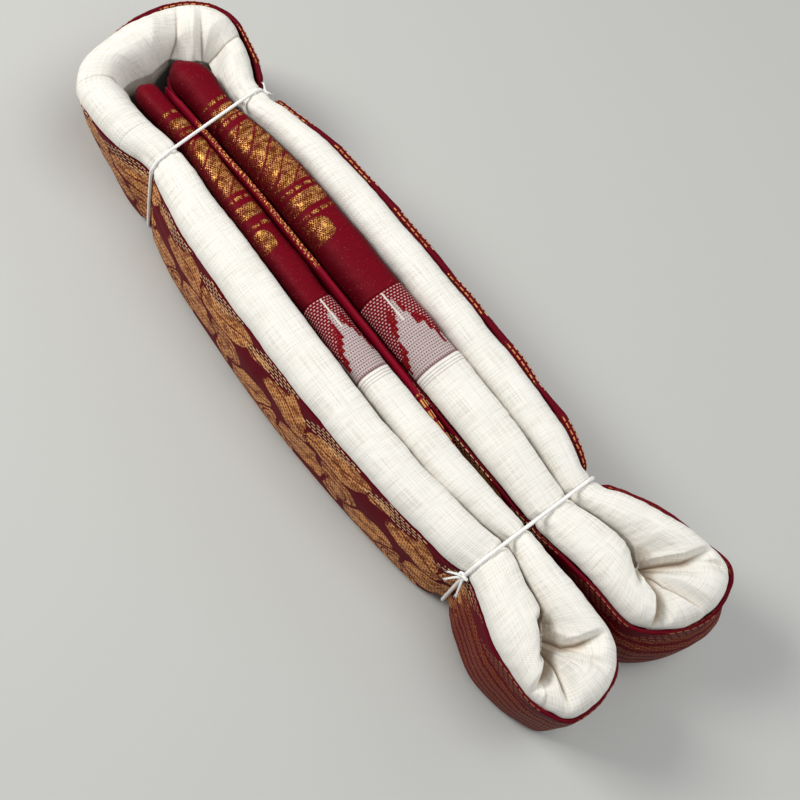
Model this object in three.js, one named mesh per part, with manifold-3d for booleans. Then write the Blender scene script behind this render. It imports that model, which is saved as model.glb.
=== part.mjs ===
// A new handloom cotton saree, folded into a thick strip, bent into a long bundle and tied
// with two cotton threads. Millimetres, +Z up. X runs along the bundle, with the two lobes at
// the +X end and the single loop at the -X end. The origin is at the middle of the underside.

import * as THREE from 'three';
import { mergeVertices } from 'three/addons/utils/BufferGeometryUtils.js';
import Module from 'manifold-3d';

const wasm = await Module();
wasm.setup();

// Driving dimensions.
const SEAM_GAP = 0.3;          // clearance between pieces
const WALL = 2;                // layers of the pallu that cover the strip's outer side
const CROWN_EDGE = 40;         // lowest height at which the rolled top edge is widest
const CROWN_RISE = 3;          // height of a very narrow rolled edge above that level
const CROWN_FLATNESS = 0.275;  // added height for each mm of its width
const LEDGE = 1.5;             // drop from that level to the ledge under the roll's overhang
const INSET = 0.4;             // the inside layers lie this far in from the roll's edge
const CORNER = 4;              // rounding of the strip's lower corners, at most
const CORNER_SHARE = 0.2;      // and at most this share of the strip's width
const BELLY_REACH = 17;        // drop from the wall's top edge to its widest point
const BELLY_TUCK = 0.25;       // share of the swell that is drawn in again at the floor
const TUCK_HEIGHT = 14;        // height at which that starts
const WALL_FOOT = 0.8;         // the foot of the wall stops this far short of the inner edge
const STEP = 14;               // longest step between sections on a straight run
const TURN_STEP = 8;           // longest step of the outer edge round a turn
const TIE_X = { upper: -94.5, lower: 89.5 };   // where the ties cross the middle of the bundle
const TIE_SLANT = { upper: -0.13, lower: 0 };  // change of x along the tie for each mm of y
const TIE_WIDTH = { upper: 1.4, lower: 1.8 };  // thread diameters
const TIE_LIFT = 2.6;          // how far the strip's underside rises over a thread
const TIE_REACH = 6;           // distance from the thread at which the rise starts
const TIE_GROOVE = 1.8;        // distance at which it is complete
const ORIGIN_SHIFT = { x: -0.1, y: 1.5 };      // puts the origin at the middle of the bundle

const COLOURS = {
  white: 0xf4f1e6, maroon: 0x74101f, band: 0xb98a8f, brocade: 0x8a4f2a, thread: 0xf7f6f1,
};

// The strip in plan, from its inner left free end, round the left lobe, the loop and the
// right lobe, to its inner right free end. Each row is one section: ix, iy is its edge on the
// inside of the turns, ox, oy its edge on the outside, top the height of its rolled edge,
// belly how far the outer wall swells beyond that edge and foot, where there is one, how far
// the wall leans in towards the floor. A row with a node starts that stretch.
const STRIP = [
  { node: 'inner_left_border', ix: -123.0, iy: -22.6, ox: -123.0, oy: -17.2, top: 43.5, belly: 0 },
  { ix: -120.5, iy: -24.1, ox: -120.5, oy: -15.4, top: 46.5, belly: 0 },
  { ix: -112.0, iy: -24.6, ox: -112.0, oy: -15.0, top: 47.5, belly: 0 },
  { ix: -92.0, iy: -22.8, ox: -92.0, oy: -13.8, top: 47.6, belly: 0 },
  { ix: -60.0, iy: -24.6, ox: -60.0, oy: -13.4, top: 49.0, belly: 0 },
  { node: 'inner_left_band', ix: -15.0, iy: -25.0, ox: -15.0, oy: -13.2, top: 49.2, belly: 0 },
  { node: 'inner_left_run', ix: 17.0, iy: -25.6, ox: 17.0, oy: -12.6, top: 49.6, belly: 0 },
  { ix: 55.0, iy: -25.2, ox: 55.0, oy: -11.6, top: 49.4, belly: 0 },
  { ix: 76.0, iy: -21.6, ox: 76.0, oy: -10.4, top: 48.6, belly: 0 },
  { node: 'left_lobe', ix: 90.0, iy: -18.2, ox: 90.0, oy: -9.6, top: 47.6, belly: 0 },
  { ix: 102.0, iy: -20.6, ox: 103.0, oy: -9.2, top: 49.0, belly: 0 },
  { ix: 113.0, iy: -22.9, ox: 117.0, oy: -8.4, top: 49.8, belly: 0 },
  { ix: 120.5, iy: -26.2, ox: 134.0, oy: -8.6, top: 49.0, belly: 0.6 },
  { ix: 123.4, iy: -28.2, ox: 143.5, oy: -14.0, top: 47.6, belly: 1.4 },
  { ix: 124.0, iy: -29.4, ox: 148.0, oy: -25.5, top: 49.6, belly: 2, foot: 1 },
  { ix: 123.6, iy: -30.4, ox: 147.0, oy: -36.6, top: 48.4, belly: 1.4, foot: 3 },
  { ix: 122.4, iy: -30.8, ox: 141.0, oy: -41.6, top: 47.2, belly: 1.2, foot: 4 },
  { ix: 120.6, iy: -29.8, ox: 131.5, oy: -44.6, top: 48.4, belly: 1.6, foot: 3.5 },
  { ix: 112.6, iy: -23.9, ox: 116.5, oy: -44.2, top: 50.0, belly: 2.2, foot: 1.5 },
  { ix: 102.0, iy: -21.4, ox: 102.0, oy: -39.4, top: 49.0, belly: 2.2, foot: 1 },
  { node: 'outer_left_run', ix: 90.0, iy: -19.0, ox: 90.5, oy: -35.4, top: 47.4, belly: 1.4, foot: 1 },
  { ix: 76.0, iy: -22.4, ox: 77.0, oy: -38.8, top: 49.0, belly: 2 },
  { ix: 40.0, iy: -26.7, ox: 40.0, oy: -42.9, top: 50.0, belly: 2.2 },
  { ix: 0.0, iy: -26.6, ox: 0.0, oy: -44.0, top: 50.0, belly: 3 },
  { ix: -40.0, iy: -25.6, ox: -40.0, oy: -43.2, top: 50.0, belly: 2.2 },
  { ix: -70.0, iy: -25.0, ox: -68.0, oy: -41.4, top: 49.6, belly: 1.6 },
  { ix: -91.0, iy: -23.6, ox: -91.0, oy: -36.8, top: 47.6, belly: 1.4 },
  { node: 'loop', ix: -105.0, iy: -25.8, ox: -104.0, oy: -40.8, top: 49.0, belly: 1.6, foot: 5 },
  { ix: -117.0, iy: -26.8, ox: -118.0, oy: -42.4, top: 50.0, belly: 1, foot: 8.5 },
  { ix: -125.5, iy: -24.0, ox: -130.5, oy: -41.0, top: 50.0, belly: 1, foot: 9 },
  { ix: -129.0, iy: -18.0, ox: -140.5, oy: -32.6, top: 49.6, belly: 2, foot: 6.5 },
  { ix: -129.8, iy: -10.0, ox: -146.2, oy: -17.0, top: 49.0, belly: 5, foot: 2 },
  { ix: -129.8, iy: -3.0, ox: -147.6, oy: -3.0, top: 49.4, belly: 7.2 },
  { ix: -128.6, iy: 4.0, ox: -146.0, oy: 12.0, top: 50.0, belly: 7 },
  { ix: -124.6, iy: 9.0, ox: -138.6, oy: 22.6, top: 50.0, belly: 6.4 },
  { ix: -118.0, iy: 9.6, ox: -127.0, oy: 27.0, top: 50.0, belly: 5.6 },
  { ix: -109.0, iy: 6.8, ox: -112.0, oy: 23.6, top: 49.0, belly: 4.6 },
  { node: 'outer_right_run', ix: -98.0, iy: 5.6, ox: -98.0, oy: 18.2, top: 47.6, belly: 4 },
  { ix: -84.0, iy: 7.8, ox: -82.0, oy: 21.6, top: 49.4, belly: 6 },
  { ix: -64.0, iy: 10.2, ox: -62.0, oy: 26.4, top: 50.0, belly: 8 },
  { ix: -30.0, iy: 11.4, ox: -28.0, oy: 28.8, top: 50.0, belly: 8.6 },
  { ix: 20.0, iy: 11.8, ox: 20.0, oy: 29.4, top: 50.0, belly: 8.4 },
  { ix: 60.0, iy: 11.8, ox: 62.0, oy: 28.0, top: 50.0, belly: 7 },
  { ix: 77.0, iy: 10.8, ox: 79.0, oy: 25.2, top: 49.2, belly: 6 },
  { node: 'right_lobe', ix: 90.0, iy: 10.4, ox: 90.0, oy: 22.0, top: 47.4, belly: 4 },
  { ix: 102.0, iy: 14.6, ox: 100.0, oy: 28.4, top: 49.0, belly: 5 },
  { ix: 113.0, iy: 17.6, ox: 114.0, oy: 35.4, top: 50.0, belly: 5 },
  { ix: 120.4, iy: 18.0, ox: 130.0, oy: 40.8, top: 49.6, belly: 4 },
  { ix: 122.4, iy: 17.8, ox: 141.6, oy: 41.8, top: 47.8, belly: 2.8 },
  { ix: 123.0, iy: 16.8, ox: 148.0, oy: 34.0, top: 49.4, belly: 5.4 },
  { ix: 122.8, iy: 15.8, ox: 150.0, oy: 24.0, top: 48.4, belly: 5.2 },
  { ix: 122.2, iy: 15.0, ox: 146.4, oy: 11.4, top: 47.4, belly: 5 },
  { ix: 120.4, iy: 14.8, ox: 136.0, oy: -0.6, top: 49.0, belly: 3.2 },
  { ix: 113.0, iy: 15.2, ox: 118.0, oy: -2.8, top: 50.0, belly: 1 },
  { ix: 102.0, iy: 13.0, ox: 103.0, oy: -4.4, top: 49.0, belly: 0 },
  { node: 'inner_right_run', ix: 90.0, iy: 9.6, ox: 90.0, oy: -6.0, top: 47.6, belly: 0 },
  { ix: 74.0, iy: 10.0, ox: 74.0, oy: -6.8, top: 49.4, belly: 0 },
  { ix: 56.0, iy: 11.0, ox: 56.0, oy: -7.2, top: 50.0, belly: 0 },
  { node: 'inner_right_band', ix: 27.0, iy: 11.0, ox: 27.0, oy: -7.4, top: 50.0, belly: 0 },
  { node: 'inner_right_border', ix: -5.0, iy: 10.4, ox: -5.0, oy: -7.8, top: 50.0, belly: 0 },
  { ix: -60.0, iy: 9.4, ox: -60.0, oy: -8.4, top: 50.0, belly: 0 },
  { ix: -96.0, iy: 4.8, ox: -94.0, oy: -9.4, top: 48.0, belly: 0 },
  { ix: -112.0, iy: 4.6, ox: -112.0, oy: -10.6, top: 49.4, belly: 0 },
  { ix: -121.0, iy: 3.0, ox: -121.0, oy: -9.8, top: 49.0, belly: 0 },
  { ix: -125.6, iy: 0.0, ox: -125.6, oy: -7.4, top: 46.0, belly: 0 },
];

// The walls of the pallu, each with the first and last stretch that it covers.
const COVERS = [
  { wall: 'pallu_inner_left', from: 'inner_left_border', to: 'inner_left_run' },
  { wall: 'pallu_left_lobe', from: 'left_lobe', to: 'left_lobe' },
  { wall: 'pallu_outer_left', from: 'outer_left_run', to: 'outer_left_run' },
  { wall: 'pallu_loop', from: 'loop', to: 'loop' },
  { wall: 'pallu_outer_right', from: 'outer_right_run', to: 'outer_right_run' },
  { wall: 'pallu_right_lobe', from: 'right_lobe', to: 'right_lobe' },
  { wall: 'pallu_inner_right', from: 'inner_right_run', to: 'inner_right_border' },
];

// Stretches whose rolled edge isn't white.
const MAROON = ['inner_left_border', 'inner_right_border'];
const BAND = ['inner_left_band', 'inner_right_band'];

// The pallu's turned edge, a thin roll that stands between the two inner rolls. Its lower part
// leans towards the right roll and is narrower than its bead.
const CENTRE_FOLD = {
  width: 2.4, bottom: 24, lean: 1.2, neck: 0.7, neckDrop: 5, bead: 2,
  rows: [
    { x: -121, y: -13.0, top: 44 }, { x: -112, y: -13.1, top: 46 }, { x: -96, y: -12.0, top: 45 },
    { x: -60, y: -10.9, top: 46 }, { x: -10, y: -10.4, top: 46 }, { x: 30, y: -9.9, top: 44 },
    { x: 56, y: -9.7, top: 38 },
  ],
};

// Each tie's knot, near this point of its ring, and its two free ends measured from the knot.
const KNOTS = {
  upper: {
    y: 20.4, z: 42.5, radius: 1.7,
    tails: [{ dx: -4, dy: 2.4, dz: 2.5 }, { dx: 1.6, dy: 2.6, dz: -2 }],
  },
  lower: {
    y: -37.6, z: 40.5, radius: 2.4,
    tails: [{ dx: -7, dy: -4.6, dz: 0 }, { dx: 4, dy: -5, dz: -9 }],
  },
};
const THREAD_SIDES = 8;        // faces round a thread
const TAIL_THINNING = 0.9;     // a free end's thickness as a share of the thread's
const TAIL_LIFT = 0.8;         // how far a free end arches out at its middle

// Small helpers.
const clamp01 = (v) => Math.min(1, Math.max(0, v));
const smooth = (v) => { const c = clamp01(v); return c * c * (3 - 2 * c); };

// Catmull-Rom value between b and c, with a and d as the neighbours.
function blend(a, b, c, d, f) {
  const f2 = f * f;
  const f3 = f2 * f;
  return 0.5 * (2 * b + (c - a) * f + (2 * a - 5 * b + 4 * c - d) * f2 + (3 * b - a - 3 * c + d) * f3);
}

// Signed distance along the bundle from a tie to a point.
const pastTie = (tie, x, y) => x - TIE_X[tie] - TIE_SLANT[tie] * y;

// How strongly a tie draws in the strip at a point, from 0 to 1.
function pinchAt(x, y) {
  const near = Object.keys(TIE_X).map((tie) => Math.abs(pastTie(tie, x, y)));
  return 1 - smooth((Math.min(...near) - TIE_GROOVE) / (TIE_REACH - TIE_GROOVE));
}

// The rows of one stretch with evenly spaced sections worked out between them.
function stations(fromNode, toNode) {
  const first = STRIP.findIndex((row) => row.node === fromNode);
  const start = STRIP.findIndex((row) => row.node === toNode);
  const after = STRIP.findIndex((row, i) => i > start && row.node);
  const end = STRIP.length - 1;
  const last = after < 0 ? end : after;
  const list = [];
  for (let i = first; i < last; i += 1) {
    const rows = [Math.max(i - 1, 0), i, i + 1, Math.min(i + 2, end)].map((k) => STRIP[k]);
    const outer = Math.hypot(rows[2].ox - rows[1].ox, rows[2].oy - rows[1].oy);
    const inner = Math.hypot(rows[2].ix - rows[1].ix, rows[2].iy - rows[1].iy);
    const turning = Math.abs(outer - inner) > 2;
    const step = turning ? TURN_STEP : STEP;
    const count = Math.max(1, Math.round(Math.max(outer, inner) / step));
    for (let k = 0; k < count; k += 1) list.push(between(rows, k / count));
  }
  list.push(between([STRIP[last - 1], STRIP[last], STRIP[last], STRIP[last]], 0));
  return withTies(list);
}

// One station a fraction f of the way from the second row to the third.
function between(rows, f) {
  const station = {};
  for (const key of ['ix', 'iy', 'ox', 'oy', 'top', 'belly', 'foot']) {
    const [a, b, c, d] = rows.map((row) => row[key] ?? 0);
    station[key] = blend(a, b, c, d, f);
  }
  return station;
}

// Adds the sections that shape the groove under each tie.
function withTies(list) {
  const distance = (s, tie) => pastTie(tie, (s.ix + s.ox) / 2, (s.iy + s.oy) / 2);
  const offsets = [-TIE_REACH, -TIE_GROOVE, TIE_GROOVE, TIE_REACH];
  const nearEnd = 0.15;
  const result = [];
  list.forEach((station, i) => {
    result.push(station);
    const next = list[i + 1];
    if (!next) return;
    const cuts = [];
    for (const tie of Object.keys(TIE_X)) {
      const from = distance(station, tie);
      const to = distance(next, tie);
      if (Math.abs(from - to) < 1) continue;
      for (const offset of offsets) {
        const f = (offset - from) / (to - from);
        if (f > nearEnd && f < 1 - nearEnd) cuts.push(f);
      }
    }
    cuts.sort((a, b) => a - b);
    for (const f of cuts) {
      const made = {};
      for (const key of Object.keys(station)) made[key] = station[key] + (next[key] - station[key]) * f;
      result.push(made);
    }
  });
  return result;
}

// Width, direction and pinch of a station, worked out once for both kinds of section.
function measure(station) {
  const dx = station.ox - station.ix;
  const dy = station.oy - station.iy;
  const width = Math.hypot(dx, dy);
  const pinch = pinchAt((station.ix + station.ox) / 2, (station.iy + station.oy) / 2);
  return {
    ...station, width, ux: dx / width, uy: dy / width,
    lift: TIE_LIFT * pinch, belly: station.belly * (1 - 0.6 * pinch),
    crown: Math.max(station.top - CROWN_FLATNESS * width - CROWN_RISE, CROWN_EDGE),
    corner: Math.min(CORNER, width * CORNER_SHARE),
  };
}

// Distance of the wall's outer face from the inner edge, at height z.
function wallFace(m, z) {
  const swell = smooth((m.crown - 1 - z) / BELLY_REACH);
  const tuck = BELLY_TUCK * smooth((TUCK_HEIGHT - z) / TUCK_HEIGHT);
  const lean = clamp01(1 - z / m.crown);
  return m.width + m.belly * (swell - tuck) - m.foot * lean;
}

// Closed outline of the strip's inside layers and rolled edge.
function stackSection(m) {
  const base = WALL + SEAM_GAP + m.lift;
  const side = (z) => wallFace(m, z) - WALL - SEAM_GAP;
  const ledge = m.crown - LEDGE;
  const corner = base + m.corner;
  const points = [[INSET + m.corner * 0.5, base], [side(corner) - m.corner, base]];
  points.push([side(corner) - m.corner * 0.3, base + m.corner * 0.3], [side(corner), corner]);
  for (const f of [0.4, 0.75]) {
    const z = corner + (ledge - corner) * f;
    points.push([side(z), z]);
  }
  points.push([side(ledge), ledge]);
  const arc = 6;
  for (let k = 0; k <= arc; k += 1) {
    const angle = Math.PI * k / arc;
    const t = m.width / 2 * (1 + Math.cos(angle));
    points.push([t, m.crown + (m.top - m.crown) * Math.sin(angle)]);
  }
  points.push([INSET, m.crown - 6], [INSET, base + m.corner * 0.5]);
  return points;
}

// Closed outline of the covering wall: down the outer side and under the strip.
function wallSection(m) {
  const edge = m.crown - LEDGE - SEAM_GAP;
  const outer = [];
  const inner = [];
  for (const f of [0, 0.25, 0.6]) {
    const z = edge + (m.lift + m.corner + WALL - edge) * f;
    outer.push([wallFace(m, z), z]);
    inner.push([wallFace(m, z) - WALL, z]);
  }
  const low = wallFace(m, m.lift + m.corner + WALL);
  const round = m.corner + WALL;
  for (const angle of [0, Math.PI / 4, Math.PI / 2]) {
    const c = Math.cos(angle);
    const s = Math.sin(angle);
    outer.push([low - round + round * c, m.lift + round - round * s]);
    inner.push([low - round + m.corner * c, m.lift + round - m.corner * s]);
  }
  outer.push([WALL_FOOT, m.lift]);
  inner.push([WALL_FOOT, m.lift + WALL]);
  return [...outer, ...inner.reverse()];
}

// Triangles that close an outline, turned the same way as its points run.
function capFaces(outline) {
  const points = outline.map(([t, z]) => new THREE.Vector2(t, z));
  const faces = THREE.ShapeUtils.triangulateShape(points, []);
  const area = (face) => THREE.ShapeUtils.area(face.map((k) => points[k]));
  const turned = faces.reduce((sum, face) => sum + area(face), 0);
  const same = turned > 0 === THREE.ShapeUtils.area(points) > 0;
  return faces.map(([a, b, c]) => (same ? [a, b, c] : [a, c, b]));
}

// Body from rings of points in order, closed at both ends by their caps.
function loft(rings, closed = false) {
  const size = rings[0].length;
  const index = [];
  const turns = closed ? rings.length : rings.length - 1;
  for (let i = 0; i < turns; i += 1) {
    const here = i * size;
    const there = ((i + 1) % rings.length) * size;
    for (let k = 0; k < size; k += 1) {
      const next = (k + 1) % size;
      index.push(here + k, there + k, here + next, there + k, there + next, here + next);
    }
  }
  if (!closed) {
    for (const [a, b, c] of rings[0].cap) index.push(a, b, c);
    const start = (rings.length - 1) * size;
    for (const [a, b, c] of rings[rings.length - 1].cap) index.push(start + a, start + c, start + b);
  }
  return solid(rings.flatMap((ring) => ring), index);
}

// Indexed geometry with its faces turned outward.
function solid(points, index) {
  const geometry = new THREE.BufferGeometry();
  geometry.setAttribute('position', new THREE.Float32BufferAttribute(points.flat(), 3));
  geometry.setIndex(index);
  let volume = 0;
  for (let i = 0; i < index.length; i += 3) {
    const [a, b, c] = [points[index[i]], points[index[i + 1]], points[index[i + 2]]];
    volume += a[0] * (b[1] * c[2] - b[2] * c[1]) - a[1] * (b[0] * c[2] - b[2] * c[0])
      + a[2] * (b[0] * c[1] - b[1] * c[0]);
  }
  if (volume < 0) {
    for (let i = 0; i < index.length; i += 3) {
      [index[i + 1], index[i + 2]] = [index[i + 2], index[i + 1]];
    }
    geometry.setIndex(index);
  }
  geometry.computeVertexNormals();
  return geometry;
}

// Rings in space for a run of stations, with the two ends drawn back by half a seam.
function rings(list, section) {
  const made = list.map((station) => {
    const m = measure(station);
    const outline = section(m);
    const ring = outline.map(([t, z]) => [m.ix + m.ux * t, m.iy + m.uy * t, z]);
    ring.cap = capFaces(outline);
    return ring;
  });
  for (const [end, beside] of [[0, 1], [made.length - 1, made.length - 2]]) {
    made[end].forEach((point, k) => {
      const other = made[beside][k];
      const length = Math.hypot(other[0] - point[0], other[1] - point[1]);
      const f = SEAM_GAP / 2 / Math.max(length, SEAM_GAP);
      for (const axis of [0, 1, 2]) point[axis] += (other[axis] - point[axis]) * f;
    });
  }
  return made;
}

// Closed curve round everything that a tie holds, clear of it by the thread's own radius.
function tieLoop(tie, bodies) {
  const reach = TIE_WIDTH[tie] / 2 + SEAM_GAP;
  const sliceWidth = 2.6;
  const shortest = 0.8;
  const directions = 16;
  const slice = bodies.flat(2).filter(([x, y]) => Math.abs(pastTie(tie, x, y)) < sliceWidth);
  const hull = convexHull(slice.map(([, y, z]) => [y, z]));
  const grown = convexHull(hull.flatMap(([y, z]) => Array.from({ length: directions }, (_, k) => {
    const angle = Math.PI * 2 * k / directions;
    return [y + reach * Math.cos(angle), z + reach * Math.sin(angle)];
  })));
  const thinned = grown.filter((p, i) => {
    const q = grown[(i + 1) % grown.length];
    return Math.hypot(p[0] - q[0], p[1] - q[1]) > shortest;
  });
  return thinned.map(([y, z]) => new THREE.Vector3(TIE_X[tie] + TIE_SLANT[tie] * y, y, z));
}

// Convex outline of points in a plane, counter-clockwise.
function convexHull(points) {
  const sorted = [...points].sort((a, b) => a[0] - b[0] || a[1] - b[1]);
  const turn = (o, a, b) => (a[0] - o[0]) * (b[1] - o[1]) - (a[1] - o[1]) * (b[0] - o[0]);
  const half = (list) => {
    const chain = [];
    for (const p of list) {
      while (chain.length > 1 && turn(chain.at(-2), chain.at(-1), p) <= 1e-9) chain.pop();
      chain.push(p);
    }
    return chain.slice(0, -1);
  };
  return [...half(sorted), ...half(sorted.reverse())];
}

// Thread of round section along points, closed into a ring or with flat ends.
function threadTube(points, radius, closed) {
  const count = points.length;
  const list = points.map((point, i) => {
    const before = points[closed ? (i + count - 1) % count : Math.max(i - 1, 0)];
    const after = points[closed ? (i + 1) % count : Math.min(i + 1, count - 1)];
    const along = after.clone().sub(before).normalize();
    const side = Math.abs(along.x) > 0.9 ? new THREE.Vector3(0, 1, 0) : new THREE.Vector3(1, 0, 0);
    const up = along.clone().cross(side).normalize();
    side.crossVectors(up, along).normalize();
    const ring = Array.from({ length: THREAD_SIDES }, (_, k) => {
      const angle = Math.PI * 2 * k / THREAD_SIDES;
      const p = point.clone().addScaledVector(side, radius * Math.cos(angle));
      return p.addScaledVector(up, radius * Math.sin(angle)).toArray();
    });
    ring.cap = Array.from({ length: THREAD_SIDES - 2 }, (_, k) => [0, k + 1, k + 2]);
    return ring;
  });
  return loft(list, closed);
}

// Solid body for joining.
function toManifold(geometry) {
  const bare = geometry.clone();
  bare.deleteAttribute('normal');
  bare.deleteAttribute('uv');
  const merged = mergeVertices(bare, 1e-4);
  return new wasm.Manifold(new wasm.Mesh({
    numProp: 3,
    vertProperties: Float32Array.from(merged.attributes.position.array),
    triVerts: Uint32Array.from(merged.index.array),
  }));
}

// Geometry of a joined body.
function fromManifold(body) {
  const mesh = body.getMesh();
  const geometry = new THREE.BufferGeometry();
  geometry.setAttribute('position', new THREE.BufferAttribute(Float32Array.from(mesh.vertProperties), 3));
  geometry.setIndex(Array.from(mesh.triVerts));
  geometry.computeVertexNormals();
  return geometry;
}

// One tie: the ring of thread, its knot and the two short free ends.
function tieBody(tie, bodies) {
  const knot = KNOTS[tie];
  const radius = TIE_WIDTH[tie] / 2;
  const loop = tieLoop(tie, bodies);
  const gap = (p) => Math.hypot(p.y - knot.y, p.z - knot.z);
  const near = loop.reduce((best, p) => (gap(p) < gap(best) ? p : best));
  const outward = Math.sign(knot.y);
  const centre = near.clone().add(new THREE.Vector3(0, outward * (knot.radius - radius), 0));
  const ball = new THREE.IcosahedronGeometry(knot.radius, 1);
  ball.scale(1.15, 0.8, 1);
  ball.translate(centre.x, centre.y, centre.z);
  let body = toManifold(threadTube(loop, radius, true)).add(toManifold(ball));
  for (const tail of knot.tails) {
    const end = centre.clone().add(new THREE.Vector3(tail.dx, tail.dy, tail.dz));
    const arch = new THREE.Vector3(0, outward * TAIL_LIFT, TAIL_LIFT / 2);
    const middle = centre.clone().lerp(end, 0.5).add(arch);
    const curve = new THREE.CatmullRomCurve3([centre, middle, end]);
    body = body.add(toManifold(threadTube(curve.getPoints(5), radius * TAIL_THINNING, false)));
  }
  return fromManifold(body);
}

// The thin turned edge between the inner rolls.
function centreFold() {
  const { rows, width, bottom, lean, neck, neckDrop, bead } = CENTRE_FOLD;
  const half = width / 2;
  const last = rows.length - 1;
  const list = [];
  for (let i = 0; i < last; i += 1) {
    const four = [Math.max(i - 1, 0), i, i + 1, Math.min(i + 2, last)].map((k) => rows[k]);
    const count = Math.max(1, Math.round((rows[i + 1].x - rows[i].x) / STEP));
    for (let k = 0; k < count; k += 1) {
      list.push(['x', 'y', 'top'].map((key) => blend(...four.map((row) => row[key]), k / count)));
    }
  }
  list.push([rows[last].x, rows[last].y, rows[last].top]);
  const arc = 6;
  return loft(list.map(([x, y, top]) => {
    const waist = half * neck;
    const outline = [[lean - waist, bottom], [lean + waist, bottom], [waist, top - neckDrop]];
    for (let k = 0; k <= arc; k += 1) {
      const angle = Math.PI * k / arc;
      outline.push([half * Math.cos(angle), top - bead + bead * Math.sin(angle)]);
    }
    outline.push([-waist, top - neckDrop]);
    const ring = outline.map(([t, z]) => [x, y + t, z]);
    ring.cap = capFaces(outline);
    return ring;
  }));
}

const group = new THREE.Group();
group.position.set(ORIGIN_SHIFT.x, ORIGIN_SHIFT.y, 0);

// Adds a named piece in its own colour.
function addPiece(name, geometry, colour, roughness) {
  const material = new THREE.MeshStandardMaterial({ color: colour, roughness, metalness: 0 });
  const mesh = new THREE.Mesh(geometry, material);
  mesh.name = name;
  group.add(mesh);
}

// Colour of a stretch's rolled edge.
function rollColour(node) {
  if (MAROON.includes(node)) return COLOURS.maroon;
  return BAND.includes(node) ? COLOURS.band : COLOURS.white;
}

const bodies = [];
for (const { node } of STRIP.filter((row) => row.node)) {
  const list = rings(stations(node, node), stackSection);
  bodies.push(list);
  addPiece(node, loft(list), rollColour(node), 0.85);
}
for (const { wall, from, to } of COVERS) {
  const list = rings(stations(from, to), wallSection);
  bodies.push(list);
  addPiece(wall, loft(list), COLOURS.brocade, 0.6);
}
addPiece('centre_fold', centreFold(), COLOURS.maroon, 0.6);
for (const tie of Object.keys(TIE_X)) {
  addPiece(`tie_${tie}`, tieBody(tie, bodies), COLOURS.thread, 0.8);
}

export default group;
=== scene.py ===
import math

import bpy
import numpy as np
from mathutils import Matrix, Vector


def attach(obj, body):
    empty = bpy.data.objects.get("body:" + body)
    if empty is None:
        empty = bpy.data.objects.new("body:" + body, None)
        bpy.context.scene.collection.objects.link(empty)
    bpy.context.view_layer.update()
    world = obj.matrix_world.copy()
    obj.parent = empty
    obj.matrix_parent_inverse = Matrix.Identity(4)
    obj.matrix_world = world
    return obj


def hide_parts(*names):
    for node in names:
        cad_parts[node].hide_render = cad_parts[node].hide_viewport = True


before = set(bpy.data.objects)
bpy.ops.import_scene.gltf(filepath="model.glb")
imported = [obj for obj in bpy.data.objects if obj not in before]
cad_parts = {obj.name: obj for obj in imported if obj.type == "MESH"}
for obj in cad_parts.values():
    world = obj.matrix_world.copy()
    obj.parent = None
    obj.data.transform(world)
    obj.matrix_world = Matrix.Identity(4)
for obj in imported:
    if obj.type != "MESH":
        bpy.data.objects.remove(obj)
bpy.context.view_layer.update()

# ---------------------------------------------------------------------------------------
# Floor, light and camera: a plain pale floor under soft studio light, seen from above one
# side of the bundle, with the camera turned about its own line of sight.
MM = 0.001
CAMERA_AT = Vector((112.2, -173.2, 430.0)) * MM
CAMERA_AIM = Vector((26.2, -9.7, 30.0)) * MM
CAMERA_ROLL = math.radians(26.2)
LENS = 56.25                   # mm, on a sensor as wide as the next line says
SENSOR = 36.0
NEAREST = 0.01                 # the camera sees nothing closer than this, m
FLOOR_SIZE = 4.0
FLOOR_COLOUR = (0.50, 0.505, 0.485, 1.0)
FLOOR_ROUGHNESS = 0.9
STUDIO_TINT = (0.95, 0.97, 1.0, 1.0)
STUDIO_LIGHT = 0.2
LIGHT_AIM = Vector((0.0, 0.0, 0.02))
LIGHTS = {
    # place, side length, power, colour
    "key_light": ((-0.60, -0.42, 0.70), 0.36, 7.4, (1.0, 0.985, 0.965)),
    "top_light": ((0.32, 0.10, 1.05), 0.7, 6.0, (1.0, 1.0, 1.0)),
    "fill_light": ((0.2, 0.95, 0.7), 0.9, 2.3, (0.97, 0.985, 1.0)),
}


def aimed(place, aim, roll=0.0):
    """Matrix at a place that looks at a point, turned by roll about its line of sight."""
    turn = (aim - place).to_track_quat("-Z", "Y").to_matrix().to_4x4()
    return Matrix.Translation(place) @ turn @ Matrix.Rotation(roll, 4, "Z")


def add_object(name, data, matrix=None):
    """Object in the scene, at the origin unless a matrix is given."""
    made = bpy.data.objects.new(name, data)
    bpy.context.collection.objects.link(made)
    if matrix is not None:
        made.matrix_world = matrix
    return made


camera_data = bpy.data.cameras.new("camera")
camera_data.lens = LENS
camera_data.sensor_width = SENSOR
camera_data.clip_start = NEAREST
camera_matrix = aimed(CAMERA_AT, CAMERA_AIM, CAMERA_ROLL)
bpy.context.scene.camera = add_object("camera", camera_data, camera_matrix)
for light_name, (place, size, power, colour) in LIGHTS.items():
    light_data = bpy.data.lights.new(light_name, "AREA")
    light_data.shape = "SQUARE"
    light_data.size = size
    light_data.energy = power
    light_data.color = colour
    add_object(light_name, light_data, aimed(Vector(place), LIGHT_AIM))
world = bpy.data.worlds.new("studio")
bpy.context.scene.world = world
world.use_nodes = True
world.node_tree.nodes["Background"].inputs["Color"].default_value = STUDIO_TINT
world.node_tree.nodes["Background"].inputs["Strength"].default_value = STUDIO_LIGHT
bpy.context.scene.view_settings.view_transform = "Standard"

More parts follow.
